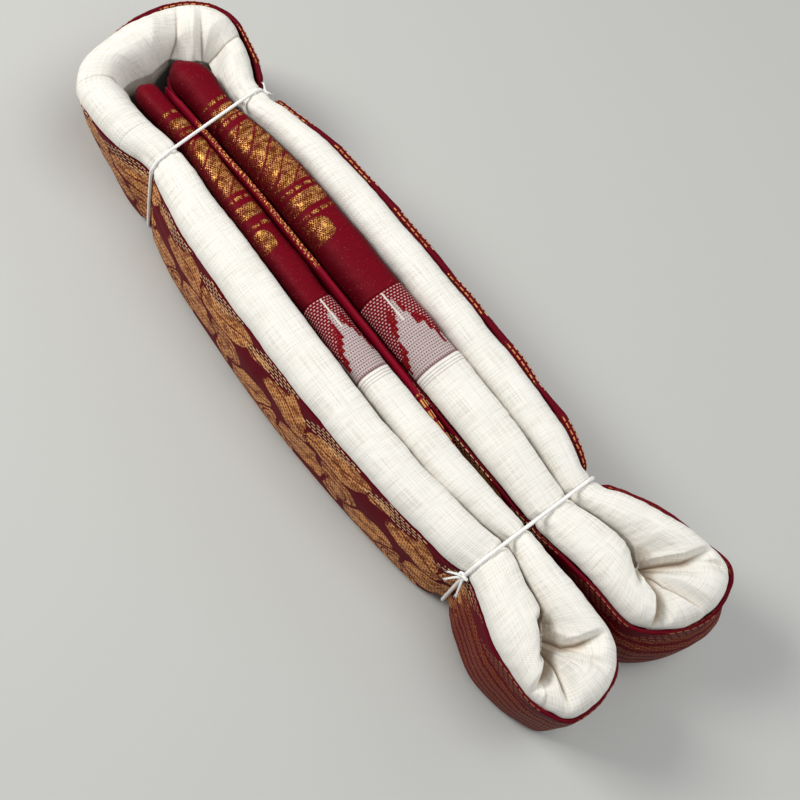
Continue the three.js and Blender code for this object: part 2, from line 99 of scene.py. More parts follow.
floor_mesh = bpy.data.meshes.new("floor")
corners = np.array([(-1, -1, 0), (1, -1, 0), (1, 1, 0), (-1, 1, 0)]) * FLOOR_SIZE / 2
floor_mesh.from_pydata(corners.tolist(), [], [(0, 1, 2, 3)])
floor = add_object("floor", floor_mesh)
floor_material = bpy.data.materials.new("pale_floor")
floor_material.use_nodes = True
floor_shader = floor_material.node_tree.nodes["Principled BSDF"]
floor_shader.inputs["Base Color"].default_value = FLOOR_COLOUR
floor_shader.inputs["Roughness"].default_value = FLOOR_ROUGHNESS
floor_mesh.materials.append(floor_material)

# ---------------------------------------------------------------------------------------
# The folded strip. The saree is folded lengthwise into one thick strip that stands on its
# edge and runs from the inner left free end round the left lobe, the loop and the right lobe
# to the inner right free end. This section holds its course and the shape of its sections.
SHIFT = np.array([-0.1, 1.5])  # puts the origin at the middle of the bundle, mm
WALL = 2.0                     # layers of the pallu on the strip's outer side
CLEAR = 0.3                    # clearance between pieces
TIE_X = {"upper": -94.5, "lower": 89.5}
TIE_SLANT = {"upper": -0.13, "lower": 0.0}
TIE_LIFT = 2.6                 # rise of the strip's underside over a thread
TIE_GROOVE = 1.8               # distance at which that rise is complete
TIE_REACH = 6.0                # distance at which it starts
CROWN_EDGE = 40.0              # lowest height at which the rolled edge is widest
CROWN_FLATNESS = 0.275         # the crown's height as a share of the strip's width,
CROWN_LIFT = 3.0               # and the height added to that share
BELLY_REACH = 17.0             # drop over which the outer wall swells
TUCK_HEIGHT = 14.0             # height below which the outer wall draws in again
NOSE = 1.3                     # rounding of the strip's two free ends in plan
NOSE_SECTIONS = 7              # sections of that rounding
NOSE_TURN = math.radians(88.5)  # turn of the last of them, just short of closing

STRIP = np.array([
    # Edge on the inside of the turns, edge on the outside, height of the rolled edge, swell of
    # the outer wall, its lean towards the floor, squareness of the roll on its inner side and
    # where its highest line lies across it.
    # ix, iy, ox, oy, top, belly, foot, press, peak
    (-121.0, -22.6, -121.0, -17.2, 43.5, 0.0, 0.0, 2.2, 0.5),
    (-118.6, -24.1, -118.6, -15.4, 46.5, 0.0, 0.0, 2.2, 0.5),
    (-112.0, -24.6, -112.0, -15.0, 47.5, 0.0, 0.0, 2.4, 0.5),
    (-92.0, -22.8, -92.0, -13.8, 47.6, 0.0, 0.0, 2.6, 0.5),
    (-60.0, -24.6, -60.0, -13.4, 49.0, 0.0, 0.0, 2.8, 0.48),
    (-15.0, -25.0, -15.0, -13.2, 49.2, 0.0, 0.0, 2.8, 0.46),
    (17.0, -25.6, 17.0, -12.6, 49.6, 0.0, 0.0, 3.0, 0.46),
    (55.0, -25.2, 55.0, -11.6, 49.4, 0.0, 0.0, 3.0, 0.48),
    (76.0, -21.6, 76.0, -10.4, 48.6, 0.0, 0.0, 2.8, 0.5),
    (90.0, -18.2, 90.0, -9.6, 47.6, 0.0, 0.0, 2.6, 0.5),
    (102.0, -20.6, 103.0, -9.2, 49.0, 0.0, 0.0, 2.4, 0.5),
    (113.0, -22.9, 117.0, -8.4, 49.8, 0.0, 0.0, 2.2, 0.54),
    (120.5, -26.2, 134.0, -8.6, 49.0, 0.6, 0.0, 1.9, 0.62),
    (123.4, -28.2, 143.5, -14.0, 47.6, 1.4, 0.0, 2.6, 0.62),
    (124.0, -29.4, 148.0, -25.5, 49.6, 2.0, 1.0, 2.8, 0.62),
    (123.6, -30.4, 147.0, -36.6, 48.4, 1.4, 3.0, 2.8, 0.62),
    (122.4, -30.8, 141.0, -41.6, 47.2, 1.2, 4.0, 2.6, 0.6),
    (120.6, -29.8, 131.5, -44.6, 48.4, 1.6, 3.5, 2.2, 0.56),
    (112.6, -23.9, 116.5, -44.2, 50.0, 2.2, 1.5, 2.6, 0.5),
    (102.0, -21.4, 102.0, -39.4, 49.0, 2.2, 1.0, 2.8, 0.5),
    (90.0, -19.0, 90.5, -35.4, 47.4, 1.4, 1.0, 2.8, 0.5),
    (76.0, -22.4, 77.0, -38.8, 49.0, 2.0, 0.0, 3.0, 0.5),
    (40.0, -26.7, 40.0, -42.9, 50.0, 2.2, 0.0, 3.0, 0.5),
    (0.0, -26.6, 0.0, -44.0, 50.0, 3.0, 0.0, 3.0, 0.5),
    (-40.0, -25.6, -40.0, -43.2, 50.0, 2.2, 0.0, 3.0, 0.5),
    (-70.0, -25.0, -68.0, -41.4, 49.6, 1.6, 0.0, 2.8, 0.5),
    (-91.0, -23.6, -91.0, -36.8, 47.6, 1.4, 0.0, 2.6, 0.5),
    (-105.0, -25.8, -104.0, -40.8, 49.0, 1.6, 5.0, 2.4, 0.52),
    (-117.0, -26.8, -118.0, -42.4, 50.0, 1.0, 8.5, 2.2, 0.56),
    (-125.5, -24.0, -130.5, -41.0, 50.0, 1.0, 9.0, 2.0, 0.56),
    (-129.0, -18.0, -140.5, -32.6, 49.6, 2.0, 6.5, 2.4, 0.5),
    (-129.8, -10.0, -146.2, -17.0, 49.2, 5.0, 2.0, 2.5, 0.5),
    (-129.8, -3.0, -147.6, -3.0, 49.4, 7.2, 0.0, 2.5, 0.5),
    (-128.6, 4.0, -146.0, 12.0, 49.6, 7.0, 0.0, 2.5, 0.5),
    (-124.6, 9.0, -138.6, 22.6, 49.6, 6.4, 0.0, 2.4, 0.5),
    (-118.0, 9.6, -127.0, 27.0, 49.4, 5.6, 0.0, 2.0, 0.56),
    (-109.0, 6.8, -112.0, 23.6, 49.0, 4.6, 0.0, 2.2, 0.53),
    (-98.0, 5.6, -98.0, 18.2, 47.6, 4.0, 0.0, 2.6, 0.5),
    (-84.0, 7.8, -82.0, 21.6, 49.4, 6.0, 0.0, 2.8, 0.5),
    (-64.0, 10.2, -62.0, 26.4, 50.0, 8.0, 0.0, 3.0, 0.5),
    (-30.0, 11.4, -28.0, 28.8, 50.0, 8.6, 0.0, 3.0, 0.5),
    (20.0, 11.8, 20.0, 29.4, 50.0, 8.4, 0.0, 3.0, 0.5),
    (60.0, 11.8, 62.0, 28.0, 50.0, 7.0, 0.0, 3.0, 0.5),
    (77.0, 10.8, 79.0, 25.2, 49.2, 6.0, 0.0, 2.8, 0.5),
    (90.0, 10.4, 90.0, 22.0, 47.4, 4.0, 0.0, 2.6, 0.5),
    (102.0, 14.6, 100.0, 28.4, 49.0, 5.0, 0.0, 2.4, 0.5),
    (113.0, 17.6, 114.0, 35.4, 50.0, 5.0, 0.0, 2.0, 0.54),
    (120.4, 18.0, 130.0, 40.8, 49.6, 4.0, 0.0, 1.8, 0.62),
    (122.4, 17.8, 141.6, 41.8, 47.8, 2.8, 0.0, 2.6, 0.62),
    (123.0, 16.8, 148.0, 34.0, 49.4, 5.4, 0.0, 2.8, 0.62),
    (122.8, 15.8, 150.0, 24.0, 48.4, 5.2, 0.0, 2.8, 0.62),
    (122.2, 15.0, 146.4, 11.4, 47.4, 5.0, 0.0, 2.6, 0.6),
    (120.4, 14.8, 136.0, -0.6, 49.0, 3.2, 0.0, 1.9, 0.6),
    (113.0, 15.2, 118.0, -2.8, 50.0, 1.0, 0.0, 2.4, 0.52),
    (102.0, 13.0, 103.0, -4.4, 49.0, 0.0, 0.0, 2.8, 0.5),
    (90.0, 9.6, 90.0, -6.0, 47.6, 0.0, 0.0, 2.8, 0.5),
    (74.0, 10.0, 74.0, -6.8, 49.4, 0.0, 0.0, 3.0, 0.5),
    (56.0, 11.0, 56.0, -7.2, 50.0, 0.0, 0.0, 3.0, 0.48),
    (27.0, 11.0, 27.0, -7.4, 50.0, 0.0, 0.0, 3.0, 0.48),
    (-5.0, 10.4, -5.0, -7.8, 50.0, 0.0, 0.0, 3.0, 0.48),
    (-60.0, 9.4, -60.0, -8.4, 50.0, 0.0, 0.0, 2.8, 0.48),
    (-96.0, 4.8, -94.0, -9.4, 48.0, 0.0, 0.0, 2.6, 0.5),
    (-112.0, 4.6, -112.0, -10.6, 49.4, 0.0, 0.0, 2.4, 0.5),
    (-118.2, 3.0, -118.2, -9.8, 48.6, 0.0, 0.0, 2.2, 0.5),
    (-122.4, 0.4, -122.4, -7.4, 45.4, 0.0, 0.0, 2.0, 0.5),
])
STRIP[:, 0:2] += SHIFT
STRIP[:, 2:4] += SHIFT

# In the turns the roll's inner side lies lower than its outer side and leans into the turn.
SLOPES = np.array([
    # row of the strip, drop of the inner side, its reach into the turn, mm
    (11, 0.0, 0.0), (13, 0.8, 0.7), (16, 0.8, 0.7), (18, 0.0, 0.0),
    (28, 0.0, 0.0), (29, 2.5, 1.5), (30, 3.6, 3.0), (31, 3.8, 3.0), (32, 4.0, 4.0),
    (33, 4.0, 4.8), (34, 3.6, 5.4), (35, 2.8, 4.0), (36, 0.8, 0.8), (37, 0.0, 0.0),
    (46, 0.0, 0.0), (48, 0.8, 0.7), (51, 0.8, 0.7), (53, 0.0, 0.0),
])

# Beside the roll the pallu's folded edge shows where it stands up and the roll lies in from it.
EDGES = np.array([
    # row of the strip, roll's distance in from the edge, the edge's rise and how far it stands out
    (9, 0.0, 0.0, 0.0), (11, 0.5, 1.0, 0.3), (13, 1.0, 1.6, 0.6), (17, 0.9, 1.6, 0.6),
    (20, 0.0, 0.6, 0.3), (30, 0.0, 0.3, 0.2), (31, 1.2, 2.2, 0.4), (32, 1.8, 4.2, 0.4),
    (35, 2.2, 4.6, 0.9), (37, 2.4, 4.6, 1.6), (38, 2.2, 3.8, 0.8), (40, 2.8, 5.0, 0.4),
    (43, 2.8, 5.0, 0.4), (45, 1.6, 3.4, 0.4), (48, 1.5, 3.4, 0.7), (50, 1.4, 2.2, 0.7),
    (55, 0.5, 0.8, 0.7), (60, 0.3, 0.6, 0.6),
])

# Each run of the strip: the rows at which its pieces start and end, and the spacing of its
# sections in mm.
RUNS = {
    "inner_left": ((0, 5, 6, 9), 1.1),
    "left_lobe": ((9, 20), 0.45),
    "outer_left": ((20, 27), 1.1),
    "loop": ((27, 37), 0.5),
    "outer_right": ((37, 44), 1.1),
    "right_lobe": ((44, 55), 0.45),
    "inner_right": ((55, 58, 59, 64), 1.1),
}


def smooth(value):
    """Rises from 0 to 1 between 0 and 1 with level ends: three squares less two cubes."""
    c = np.clip(value, 0.0, 1.0)
    return c * c * (3 - 2 * c)


def table_at(place):
    """Catmull-Rom values of the strip's columns at fractional row numbers."""
    i = np.clip(np.floor(place).astype(int), 0, len(STRIP) - 2)
    f = (place - i)[:, None]
    a, b, c, d = (STRIP[np.clip(i + k, 0, len(STRIP) - 1)] for k in (-1, 0, 1, 2))
    return 0.5 * (2 * b + (c - a) * f + (2 * a - 5 * b + 4 * c - d) * f**2
                  + (3 * b - a - 3 * c + d) * f**3)


FINE = 60                      # steps between two rows in measuring the strip's length
fine_rows = table_at(np.linspace(0, len(STRIP) - 1, (len(STRIP) - 1) * FINE + 1))
fine_steps = np.maximum(np.hypot(*np.diff(fine_rows[:, 0:2], axis=0).T),
                        np.hypot(*np.diff(fine_rows[:, 2:4], axis=0).T))
fine_run = np.concatenate([[0.0], np.cumsum(fine_steps)])


def sections(run, lap=0.0):
    """Evenly spaced sections of a run: the table's columns, the distance along the strip and
    the section at which each piece of the run starts or ends. A lap adds one section more,
    that far past the run's end."""
    marks, spacing = RUNS[run]
    at = [fine_run[[marks[0] * FINE]]]
    bounds = [0]
    for a, b in zip(marks[:-1], marks[1:]):
        start, end = fine_run[a * FINE], fine_run[b * FINE]
        count = int(round((end - start) / spacing))
        at.append(np.linspace(start, end, count + 1)[1:])
        bounds.append(bounds[-1] + count)
    if lap:
        at.append([at[-1][-1] + lap])
    distance = np.concatenate(at)
    place = np.interp(distance, fine_run, np.arange(len(fine_run))) / FINE
    slopes = [np.interp(place, SLOPES[:, 0], SLOPES[:, column]) for column in (1, 2)]
    edges = [np.interp(place, EDGES[:, 0], EDGES[:, column]) for column in (1, 2, 3)]
    return np.column_stack([table_at(place), *slopes, *edges]), distance, bounds


def with_nose(rows, distance, end):
    """Adds the rounded free end: sections that narrow as a quarter circle in plan while their
    top sinks, ahead of the first section (end 0) or past the last one (end -1)."""
    angle = np.linspace(0, np.pi / 2, NOSE_SECTIONS + 1)[1:]
    angle[-1] = NOSE_TURN
    row = rows[end]
    beside = rows[1 if end == 0 else -2]
    middle, half = (row[0:2] + row[2:4]) / 2, (row[2:4] - row[0:2]) / 2
    forward = middle - (beside[0:2] + beside[2:4]) / 2
    forward = forward / np.linalg.norm(forward)
    extra = np.repeat(row[None, :], len(angle), axis=0)
    ahead = middle + forward * (NOSE * np.sin(angle))[:, None]
    extra[:, 0:2] = ahead - half * np.cos(angle)[:, None]
    extra[:, 2:4] = ahead + half * np.cos(angle)[:, None]
    extra[:, 4] = CROWN_EDGE + (row[4] - CROWN_EDGE) * np.cos(angle) ** 0.6
    further = distance[end] + NOSE * np.sin(angle) * (1 if end else -1)
    if end == 0:
        return np.concatenate([extra[::-1], rows]), np.concatenate([further[::-1], distance])
    return np.concatenate([rows, extra]), np.concatenate([distance, further])


def past_tie(tie, x, y):
    """Signed distance along the bundle from a tie to each point, mm."""
    return x - SHIFT[0] - TIE_X[tie] - TIE_SLANT[tie] * (y - SHIFT[1])


def tie_distance(x, y):
    """Distance along the bundle to the nearest tie, mm."""
    each = [np.abs(past_tie(tie, x, y)) for tie in TIE_X]
    return np.minimum(*each)


def measured(rows):
    """Sizes of the sections as columns, for use against the points of a profile."""
    inner, outer = rows[:, 0:2], rows[:, 2:4]
    width = np.maximum(np.hypot(*(outer - inner).T), 0.05)
    middle = (inner + outer) / 2
    pinch = 1 - smooth((tie_distance(*middle.T) - TIE_GROOVE) / (TIE_REACH - TIE_GROOVE))
    top, belly, foot, press, peak, sink, reach, inset, rise, stand = rows[:, 4:14].T
    columns = {
        "width": width, "pinch": pinch, "lift": TIE_LIFT * pinch, "top": top, "foot": foot,
        "crown": np.maximum(top - CROWN_FLATNESS * width - CROWN_LIFT, CROWN_EDGE),
        "belly": belly * (1 - 0.6 * pinch), "press": press, "peak": peak, "sink": sink,
        "reach": reach, "inset": np.minimum(inset * (1 - 0.5 * pinch), width / 4),
        "rise": rise * (1 - pinch), "stand": stand * (1 - pinch),
    }
    return {"inner": inner, "direction": (outer - inner) / width[:, None],
            **{name: column[:, None] for name, column in columns.items()}}


def placed(m, across, height):
    """Points in space for distances across the strip and heights."""
    plan = m["inner"][:, None, :] + m["direction"][:, None, :] * across[:, :, None]
    return np.concatenate([plan, np.broadcast_to(height, across.shape)[:, :, None]], axis=2)


def wall_face(m, z):
    """Distance of the wall's outer face from the strip's inner edge: the strip's width, plus
    its swell, which draws in again near the floor, less its lean."""
    swell = smooth((m["crown"] - 1 - z) / BELLY_REACH)
    tuck = 0.25 * smooth((TUCK_HEIGHT - z) / TUCK_HEIGHT)
    lean = m["foot"] * np.clip(1 - z / m["crown"], 0, 1)
    return m["width"] + m["belly"] * (swell - tuck) - lean


def girths(points):
    """Distance along each section from its first point."""
    steps = np.linalg.norm(np.diff(points, axis=1), axis=2)
    return np.concatenate([np.zeros((len(points), 1)), np.cumsum(steps, axis=1)], axis=1)


def outward(points):
    """Unit normals of a grid of points, from its differences along and across."""
    n = np.cross(np.gradient(points, axis=0), np.gradient(points, axis=1))
    return n / np.maximum(np.linalg.norm(n, axis=2, keepdims=True), 1e-9)


SINES = 6


def waves(a, b, seed, long_wave, short_wave):
    """Soft uneven waves: the mean of a few sines whose lengths vary about the two given."""
    rng = np.random.default_rng(seed)
    total = np.zeros(np.broadcast(a, b).shape)
    for _ in range(SINES):
        fa, fb = rng.uniform(0.5, 1.5) / long_wave, rng.uniform(-1.2, 1.2) / short_wave
        total += np.sin(2 * np.pi * (a * fa + b * fb) + rng.uniform(0, 6.28)) / SINES
    return total


def grid_object(name, points, uv, closed=False, caps=False, attributes=None):
    """Grid of points in mm made into a mesh object, with a UV map in metres and float
    attributes. Closed joins the last column to the first, and caps close the two ends."""
    count, cols = points.shape[:2]
    index = np.arange(count * cols).reshape(count, cols)
    left = index if closed else index[:, :-1]
    right = np.roll(index, -1, axis=1) if closed else index[:, 1:]
    quads = np.stack([left[:-1], left[1:], right[1:], right[:-1]], axis=-1).reshape(-1, 4)
    ends = [index[0], index[-1][::-1]] if caps else []
    corner_points = np.concatenate([quads.ravel(), *ends]).astype(np.int32)
    totals = np.array([4] * len(quads) + [cols] * len(ends), dtype=np.int32)
    starts = np.concatenate([[0], np.cumsum(totals)[:-1]]).astype(np.int32)
    mesh = bpy.data.meshes.new(name)
    mesh.vertices.add(count * cols)
    mesh.vertices.foreach_set("co", (points * MM).astype(np.float32).ravel())
    mesh.loops.add(len(corner_points))
    mesh.loops.foreach_set("vertex_index", corner_points)
    mesh.polygons.add(len(totals))
    mesh.polygons.foreach_set("loop_start", starts)
    mesh.polygons.foreach_set("loop_total", totals)
    corner = uv.reshape(-1, 2)[corner_points]
    if closed:
        v = np.concatenate([uv[..., 1], uv[:, -1:, 1] * 2 - uv[:, -2:-1, 1]], axis=1)
        sides = np.stack([v[:-1, :-1], v[1:, :-1], v[1:, 1:], v[:-1, 1:]], axis=-1)
        corner[:quads.size, 1] = sides.ravel()
    layer = mesh.uv_layers.new(name="cloth")
    layer.data.foreach_set("uv", (corner * MM).astype(np.float32).ravel())
    mesh.polygons.foreach_set("use_smooth", np.ones(len(totals), dtype=bool))
    for key, values in (attributes or {}).items():
        attribute = mesh.attributes.new(key, "FLOAT", "POINT")
        attribute.data.foreach_set("value", values.astype(np.float32).ravel())
    mesh.update(calc_edges=True)
    return add_object(name, mesh)


# ---------------------------------------------------------------------------------------
# Creases of the rolled edge. Where the strip turns, its inside layers gather into folds that
# fan out from the turn, and the free ends and ties leave small kinks. Each is drawn in plan.
CREASES = {
    # points in plan from the inside of the turn outwards, depth, width to the left, to the right
    "left_lobe": [
        ([(113.5, -24.5), (117.5, -26.5), (123.5, -28.7), (127.6, -31.7), (130.0, -35.2),
          (132.6, -45.0)], 9.5, 5.5, 2.0),
        ([(117.9, -25.5), (122.9, -24.2), (126.6, -23.2), (128.9, -19.5), (132.0, -9.0)],
         7.4, 2.0, 6.0),
        ([(126.0, -23.4), (132.9, -20.2), (143.0, -16.4)], 2.4, 1.4, 3.6),
        ([(121.5, -26.6), (127.0, -26.6), (136.4, -25.4)], 2.8, 3.2, 1.2),
        ([(122.9, -27.7), (129.9, -30.3), (135.7, -32.6), (145.2, -36.9)], 5.4, 4.0, 2.4),
        ([(130.0, -36.0), (135.0, -38.6), (141.5, -44.5)], 2.2, 2.8, 1.4),
        ([(112.6, -24.0), (116.0, -22.8), (121.0, -21.4)], 3.2, 1.2, 2.4),
        ([(119.4, -27.4), (123.5, -30.4), (126.4, -35.4)], 3.4, 1.5, 2.0),
        ([(126.4, -27.2), (130.8, -24.6), (136.0, -21.4)], 2.6, 1.3, 2.4),
    ],
    "right_lobe": [
        ([(116.6, 15.6), (122.0, 16.3), (127.3, 14.4), (133.2, 13.4), (138.1, 9.2), (144.6, 0.2)],
         9.5, 5.5, 2.0),
        ([(120.6, 15.4), (125.5, 22.2), (129.7, 29.1), (133.2, 41.0)], 7.8, 2.0, 6.0),
        ([(125.0, 17.0), (132.2, 17.5), (137.8, 19.8), (151.0, 25.6)], 4.8, 3.8, 1.6),
        ([(123.9, 18.0), (130.0, 23.4), (139.0, 33.4)], 2.6, 1.2, 3.4),
        ([(132.0, 32.3), (137.1, 37.7), (144.2, 41.0)], 2.2, 1.2, 3.0),
        ([(118.4, 15.8), (122.6, 13.2), (128.0, 9.6)], 3.0, 1.4, 2.2),
        ([(121.8, 17.0), (127.0, 20.0), (134.0, 25.4)], 3.4, 1.5, 2.2),
    ],
    "loop": [
        ([(-119.0, -17.0), (-123.9, -20.8), (-128.0, -24.9), (-131.3, -31.4), (-132.6, -37.7),
          (-133.4, -44.0)], 3.6, 4.6, 7.0),
        ([(-121.0, -15.0), (-127.0, -19.0), (-134.0, -23.0)], 1.4, 3.0, 4.4),
        ([(-118.0, -5.6), (-123.0, -2.1), (-131.4, 3.9), (-139.5, 8.7), (-147.0, 13.4)],
         5.8, 9.0, 6.6),
        ([(-114.5, 2.4), (-117.7, 4.9), (-124.4, 9.8), (-132.3, 15.0), (-139.0, 19.6)],
         3.4, 3.2, 3.4),
        ([(-118.0, 4.0), (-119.4, 10.5), (-120.4, 17.0), (-121.6, 24.0), (-122.6, 32.0)],
         5.2, 7.0, 7.6),
    ],
    "inner_left": [([(47.5, -25.4), (50.8, -25.9), (53.3, -24.1), (64.3, -22.6)], 1.6, 1.6, 1.6)],
    "inner_right": [([(54.5, 11.6), (58.3, 12.7), (71.3, 11.0)], 1.6, 1.6, 1.6)],
}

FADE_IN = 2.5                  # length over which a crease starts, mm
FADE_OUT = 0.45                # share of its length over which it ends
SHARPNESS = 1.2                # power of the fall of its depth to either side
SHARED_DEPTH = 0.25            # share of the lesser depth added where two creases cross
# The crease's line below is painted shade: darker along the crease, more so for deeper creases.
LINE_WIDTH = 0.36              # half width of its dark line, mm
FULL_LINE = 4.5                # depth from which that line is at its darkest, mm


def crease_depth(run_name, x, y):
    """How far each point is pressed in by its run's creases, and how nearly it lies on one.
    Across a crease the depth falls away on each side over that side's width, sharp at the
    line, and along it the depth fades out towards both ends."""
    total = np.zeros_like(x)
    on_line = np.zeros_like(x)
    for points, depth, left, right in CREASES.get(run_name, []):
        line = np.array(points)
        lengths = np.hypot(*np.diff(line, axis=0).T)
        whole = lengths.sum()
        nearest = np.full(x.shape, 1e9)
        side = np.zeros_like(x)
        run = np.zeros_like(x)
        passed = 0.0
        for a, b, length in zip(line[:-1], line[1:], lengths):
            ux, uy = (b - a) / length
            t = np.clip((x - a[0]) * ux + (y - a[1]) * uy, 0, length)
            dx, dy = x - a[0] - ux * t, y - a[1] - uy * t
            gap = np.hypot(dx, dy)
            closer = gap < nearest
            nearest = np.where(closer, gap, nearest)
            side = np.where(closer, ux * dy - uy * dx, side)
            run = np.where(closer, passed + t, run)
            passed += length
        fade = smooth(run / FADE_IN) * smooth((whole - run) / (FADE_OUT * whole))
        share = np.clip(1 - nearest / np.where(side > 0, left, right), 0, 1)
        one = depth * fade * share**SHARPNESS
        total = np.maximum(total, one) + SHARED_DEPTH * np.minimum(total, one)
        line = fade * np.exp(-((nearest / LINE_WIDTH) ** 2)) * min(1.0, depth / FULL_LINE) ** 2
        on_line = np.maximum(on_line, line)
    return total, on_line


# The rolled edge itself, sizes in mm.
CURL = np.array([[4.0, 0.1], [0.8, 0.1], [0.15, 0.6]])  # inner foot: across, height over it
LEAN_START = 14                # height above which the inner side leans into a turn
HALF_CROWN = 30                # points from the crown's inner side to its highest line
OUTER_PRESS = 2.15             # squareness of the roll on its outer side
TUCK_TURN = 1.4                # drop over which the roll turns in behind the pallu's edge
TUCK_REACH = 0.8               # how far past the wall's thickness it turns in
TUCK_DROP = 3.3                # how much further it goes down there
OPEN_END = 3                   # length at a free end over which it goes down to the foot
LAP = 0.7                      # how far a roll goes on under the next one
LAP_SINK = 0.12                # how far the end of that lap lies under it


def roll_profile(m, distance):
    """Sections of the rolled edge as distances across the strip and heights. Each rises from
    a small curl up the inside of the turns, goes over the crown as half a superellipse whose
    top lies nearer one side in the turns, and tucks in behind the pallu's edge. Returns also
    the crown's share across the roll, the height at which it springs and its middle point."""
    low = WALL + CLEAR + m["lift"]
    foot_t = np.minimum(CURL[None, :, 0] * np.ones_like(low), m["width"] * 0.5)
    foot_z = low + CURL[None, :, 1]
    spring = m["crown"] - m["sink"]
    rise = np.linspace(0, 1, 11)[None, 1:] ** 0.7
    side_z = low + 0.6 + (spring - 0.8 - low) * rise
    side_t = 0.1 - m["reach"] * smooth((side_z - LEAN_START) / (spring - LEAN_START))
    arc = np.linspace(0, np.pi, 2 * HALF_CROWN + 1)[None, :]
    power = np.where(arc < np.pi / 2, 2 / m["press"], 2 / OUTER_PRESS)
    height = np.abs(np.sin(arc)) ** power
    share = (1 - np.sign(np.cos(arc)) * np.abs(np.cos(arc)) ** power) / 2
    inner_share = np.where(arc < np.pi / 2, 1 - height, 0.0)
    roll_width = m["width"] - m["inset"]
    crown_t = roll_width * share ** (np.log(m["peak"]) / np.log(0.5)) - m["reach"] * inner_share**2
    crown_z = m["crown"] + (m["top"] - m["crown"]) * height - m["sink"] * inner_share
    tuck = np.linspace(0, 1, 8)[None, 1:]
    turn = np.minimum(tuck * 2.2, 1.0) * np.pi / 2
    past_start, to_end = distance[:, None] - fine_run[0], fine_run[-1] - distance[:, None]
    plain = (past_start > OPEN_END) & (to_end > OPEN_END)
    drop = np.where(plain, TUCK_DROP, m["crown"] - TUCK_TURN - low - 0.2)
    behind = np.where((past_start > 0) & (to_end > 0), WALL + TUCK_REACH, 0.0)
    turned_in = np.maximum(behind - m["inset"], 0) * (1 - np.cos(turn))
    tuck_t = np.maximum(roll_width - turned_in, m["width"] * 0.6)
    tuck_z = m["crown"] - TUCK_TURN * np.sin(turn) - drop * np.maximum(tuck - 0.45, 0) / 0.55
    across = np.concatenate([foot_t, side_t, crown_t, tuck_t], axis=1)
    height = np.concatenate([foot_z, side_z, crown_z, tuck_z], axis=1)
    return across, height, share, spring, foot_t.shape[1] + side_t.shape[1] + HALF_CROWN


def roll_surface(run):
    """The strip's rolled edge over one run, as a grid of points. Tie grooves and soft waves
    move it along its normals. Creases press it straight down, but in the loop they press it
    across the strip on the flank and turn to straight down over the crown. The run goes on a
    little under the next one, so that no gap shows between two pieces."""
    lap = 0.0 if run == "inner_right" else LAP
    rows, distance, bounds = sections(run, lap)
    if run == "inner_left":
        rows, distance = with_nose(rows, distance, 0)
        bounds = [0] + [b + NOSE_SECTIONS for b in bounds[1:]]
    if run == "inner_right":
        rows, distance = with_nose(rows, distance, -1)
        bounds = bounds[:-1] + [len(rows) - 1]
    m = measured(rows)
    across, height, share, spring, middle = roll_profile(m, distance)
    points = placed(m, across, height)
    girth = girths(points)
    girth = girth - girth[:, middle:middle + 1]
    x, y, z = np.moveaxis(points, 2, 0)
    on_crown = smooth((z - spring + 4) / 5) * smooth((m["width"] - 4) / 6)
    near = tie_distance(x, y)
    groove = 0.9 * np.exp(-((near / 1.3) ** 2))
    gather = 0.2 * np.exp(-near / 5) * np.cos(2 * np.pi * girth / 4.6 + 0.02 * x)
    place = distance[:, None]
    swell = 0.42 * waves(place, girth, 4, 26, 30) + 0.12 * waves(place, girth, 24, 7, 9)
    crease, on_line = crease_depth(run, x, y)
    turned = float(run == "loop")
    pressed = crease * (turned * smooth((z - 8) / 20) + (1 - turned) * on_crown)
    climb = np.clip((z - spring + 4) / (m["top"] - spring + 4), 0, 1)
    climb = np.where(np.arange(z.shape[1]) > middle, 1.0, climb)
    tilt = np.pi / 2 * (turned * climb + 1 - turned)
    points = points - outward(points) * ((groove + gather - swell) * on_crown)[..., None]
    points[..., :2] += m["direction"][:, None, :] * (pressed * np.cos(tilt))[..., None]
    points[..., 2] -= pressed * np.sin(tilt)
    if lap:
        points[-1] -= outward(points)[-1] * LAP_SINK
    # Painted shade: darker below the height where the crown springs, down the sides into the seams
    # between the rolls, and darker still lower down.
    seam_shade = smooth((spring + 1 - z) / 6) + smooth((spring - 4 - z) / 10)
    # How far across the crown from its middle line; the border paints shade on the roll's sides by
    # it.
    beside = np.ones_like(z)
    beside[:, middle - HALF_CROWN:middle + HALF_CROWN + 1] = np.abs(2 * share - 1)
    # Painted shade: the fold value is a dark line along each crease, and the pit value browns the
    # lobes where their creases are deepest.
    return {"points": points, "distance": distance, "girth": girth, "bounds": bounds,
            "seam_shade": seam_shade, "fold": on_line * on_crown, "side": beside,
            "pit_shade": (1 - turned) * smooth((crease - 3.6) / 3.4) * on_crown}


surfaces = {run: roll_surface(run) for run in RUNS}
THREADS = 0.6                  # thickness of the rolled layer that shows


def lay_roll(name, run, part, along, side, material, nodes):
    """One piece of a rolled edge: a slice of its run's grid, given its layer's thickness. Its
    UV map runs along the strip from a given place and across it from the crown's middle."""
    surface = surfaces[run]
    last = part == len(surface["bounds"]) - 2
    piece_slice = slice(surface["bounds"][part], None if last else surface["bounds"][part + 1] + 1)
    points = surface["points"][piece_slice]
    girth = surface["girth"][piece_slice] * side
    u = np.broadcast_to(along(surface["distance"][piece_slice])[:, None], girth.shape)
    shades = {key: surface[key][piece_slice] for key in ("seam_shade", "fold", "pit_shade", "side")}
    piece = grid_object(name, points, np.stack([u, girth], axis=-1), attributes=shades)
    piece.data.materials.append(material)
    layer = piece.modifiers.new("layer", "SOLIDIFY")
    layer.thickness = THREADS * MM
    layer.offset = -1.0
    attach(piece, "root")
    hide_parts(*nodes)
    "pallu_" + run
